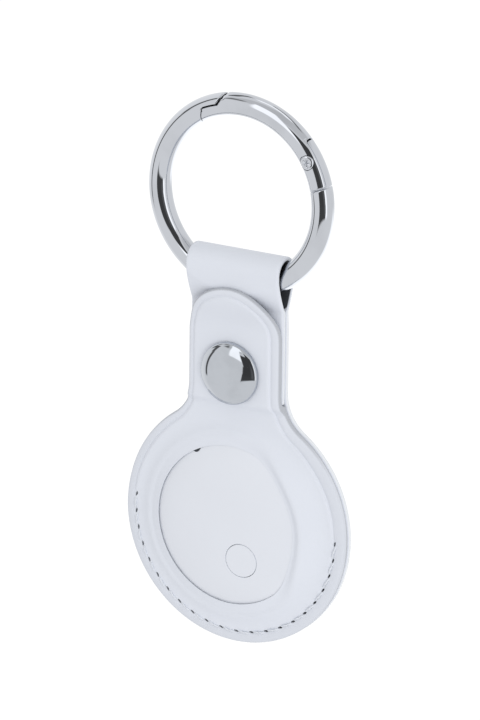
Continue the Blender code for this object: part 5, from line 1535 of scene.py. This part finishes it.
def make_tag_button():
    """The button: its face follows the shell's dome, with an eased rim and a flange inside."""
    outline = circle(button_centre, BUTTON_RADIUS)
    guides = [circle(button_centre, BUTTON_RADIUS - gap) for gap in BUTTON_GUIDES]
    rim = closed(outline)

    def surface(points, face):
        y = tag_dome_y(points) + edge_trim(distance_to_line(points, rim), BUTTON_EDGE_ROUND)
        if not face:
            y = np.full(len(points), button_high.y - BUTTON_THICK)
        return np.stack([points[:, 0], y, points[:, 1]], axis=1)

    button = cut_sheet("tag_press_button", outline, [], guides, surface, white_plastic, BUTTON_STEP,
                       SHELL_SHARP_DEG)
    flange_radius = 0.5 * (button_high.x - button_low.x)
    front_y, back_y = button_high.y - FLANGE_THICK, button_high.y
    profile = [(0, front_y), (flange_radius, front_y), (flange_radius, back_y), (0, back_y)]
    flange = turn_piece("flange", profile, button_centre, white_plastic, sides=FLANGE_SIDES)
    cut_with(button, flange, "UNION")
    button.data.shade_smooth()
    button.data.set_sharp_from_angle(angle=math.radians(SHELL_SHARP_DEG))
    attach(button, "button")
    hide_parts("tag_button")


make_tag_shell()
make_tag_button()


# The tag's insides
# The turned steel back cover on its rubber seal, and what lies between it and the shell: the green board
# with its switch, radio chip and sounder, and the coin cell in its tray between two plated contacts.

TURNING_PITCH = 0.12 * mm
BATTERY_PITCH = 0.25 * mm
TRACE_LENGTH = 1.6 * mm
TRACE_PITCH = 0.5 * mm


def turned_metal(name, tint, roughness, pitch, mark):
    """Metal with fine turning rings about the tag's axis and faint stains."""
    material, shader = make_new_material(name)
    place = add_node(material, "TexCoord").outputs["Object"]
    centred = add_node(material, "Mapping", {"Vector": place, "Location": (0, 0, -pouch_z)})
    waves = add_node(material, "TexWave", {"Vector": centred.outputs[0], "Scale": 0.05 / pitch,
                                           "Distortion": 0.6, "Detail": 2.0},
                     wave_type="RINGS", rings_direction="Y")
    rings = waves.outputs["Fac"]
    colour = two_tone(material, noise(material, place, 240.0, 4.0), tint, 0.90, 1.0, 0.35, 0.65)
    rough = add_node(material, "MapRange", {0: rings, 3: roughness, 4: roughness + 0.12})
    bump = add_node(material, "Bump", {"Strength": mark, "Distance": 0.01 * mm, "Height": rings})
    finish_shader(material, shader, colour, rough.outputs[0], bump.outputs[0])
    shader.inputs["Metallic"].default_value = 1.0
    return material


def moulded(name, tint, low_rough, high_rough, grain, bump_depth):
    """Moulded plastic or rubber: a fine spark-eroded grain with faint flow clouds."""
    material, shader = make_new_material(name)
    place = add_node(material, "TexCoord").outputs["Object"]
    spark = noise(material, place, grain, 4.0)
    colour = two_tone(material, noise(material, place, 150.0, 2.0), tint, 0.86, 1.08)
    rough = add_node(material, "MapRange", {0: spark, 3: low_rough, 4: high_rough})
    bump = add_node(material, "Bump", {"Strength": 0.3, "Distance": bump_depth, "Height": spark})
    finish_shader(material, shader, colour, rough.outputs[0], bump.outputs[0])
    return material


def solder_mask(name, mask, trace):
    """Green lacquer over copper traces, which show as paler raised lines with gaps between them."""
    material, shader = make_new_material(name)
    place = add_node(material, "TexCoord").outputs["Object"]
    laid = add_node(material, "Mapping", {"Vector": place, "Rotation": (0.5 * math.pi, 0, 0)})
    lines = add_node(material, "TexBrick", {"Vector": laid.outputs[0], "Color1": (*mask, 1),
                                            "Color2": (*[1.25 * part for part in mask], 1),
                                            "Mortar": (*trace, 1), "Scale": 1.0, "Mortar Size": 0.09 * mm,
                                            "Brick Width": TRACE_LENGTH, "Row Height": TRACE_PITCH})
    rough = add_node(material, "MapRange", {0: noise(material, place, 3000.0, 2.0), 3: 0.30, 4: 0.45})
    bump = add_node(material, "Bump", {"Strength": 0.3, "Distance": 0.03 * mm,
                                       "Height": lines.outputs["Fac"]})
    finish_shader(material, shader, lines.outputs["Color"], rough.outputs[0], bump.outputs[0])
    return material


cover_steel = turned_metal("turned_cover_steel", (0.62, 0.63, 0.64), 0.16, TURNING_PITCH, 0.25)
cell_steel = turned_metal("plated_battery_can", (0.66, 0.66, 0.67), 0.24, BATTERY_PITCH, 0.12)
flashed_brass = turned_metal("gold_flashed_brass", (0.72, 0.53, 0.20), 0.20, BATTERY_PITCH, 0.06)
inside_finishes = {
    "tag_back_cover": cover_steel,
    "tag_battery": cell_steel,
    "tag_sounder": flashed_brass,
    "tag_front_contact": flashed_brass,
    "tag_back_contact": flashed_brass,
    "tag_seal": moulded("black_seal_rubber", (0.020, 0.020, 0.021), 0.70, 0.85, 1800.0, 0.02 * mm),
    "tag_circuit_board": solder_mask("green_circuit_board", (0.020, 0.125, 0.060), (0.060, 0.240, 0.120)),
    "tag_button_switch": moulded("black_switch_plastic", (0.030, 0.030, 0.032), 0.38, 0.55, 1500.0,
                                 0.01 * mm),
    "tag_radio_chip": moulded("black_chip_resin", (0.026, 0.026, 0.028), 0.50, 0.65, 2600.0, 0.01 * mm),
    "tag_battery_tray": moulded("grey_tray_plastic", (0.35, 0.36, 0.38), 0.45, 0.60, 1200.0, 0.02 * mm),
}
for node_name, finish in inside_finishes.items():
    coat_node(node_name, finish)
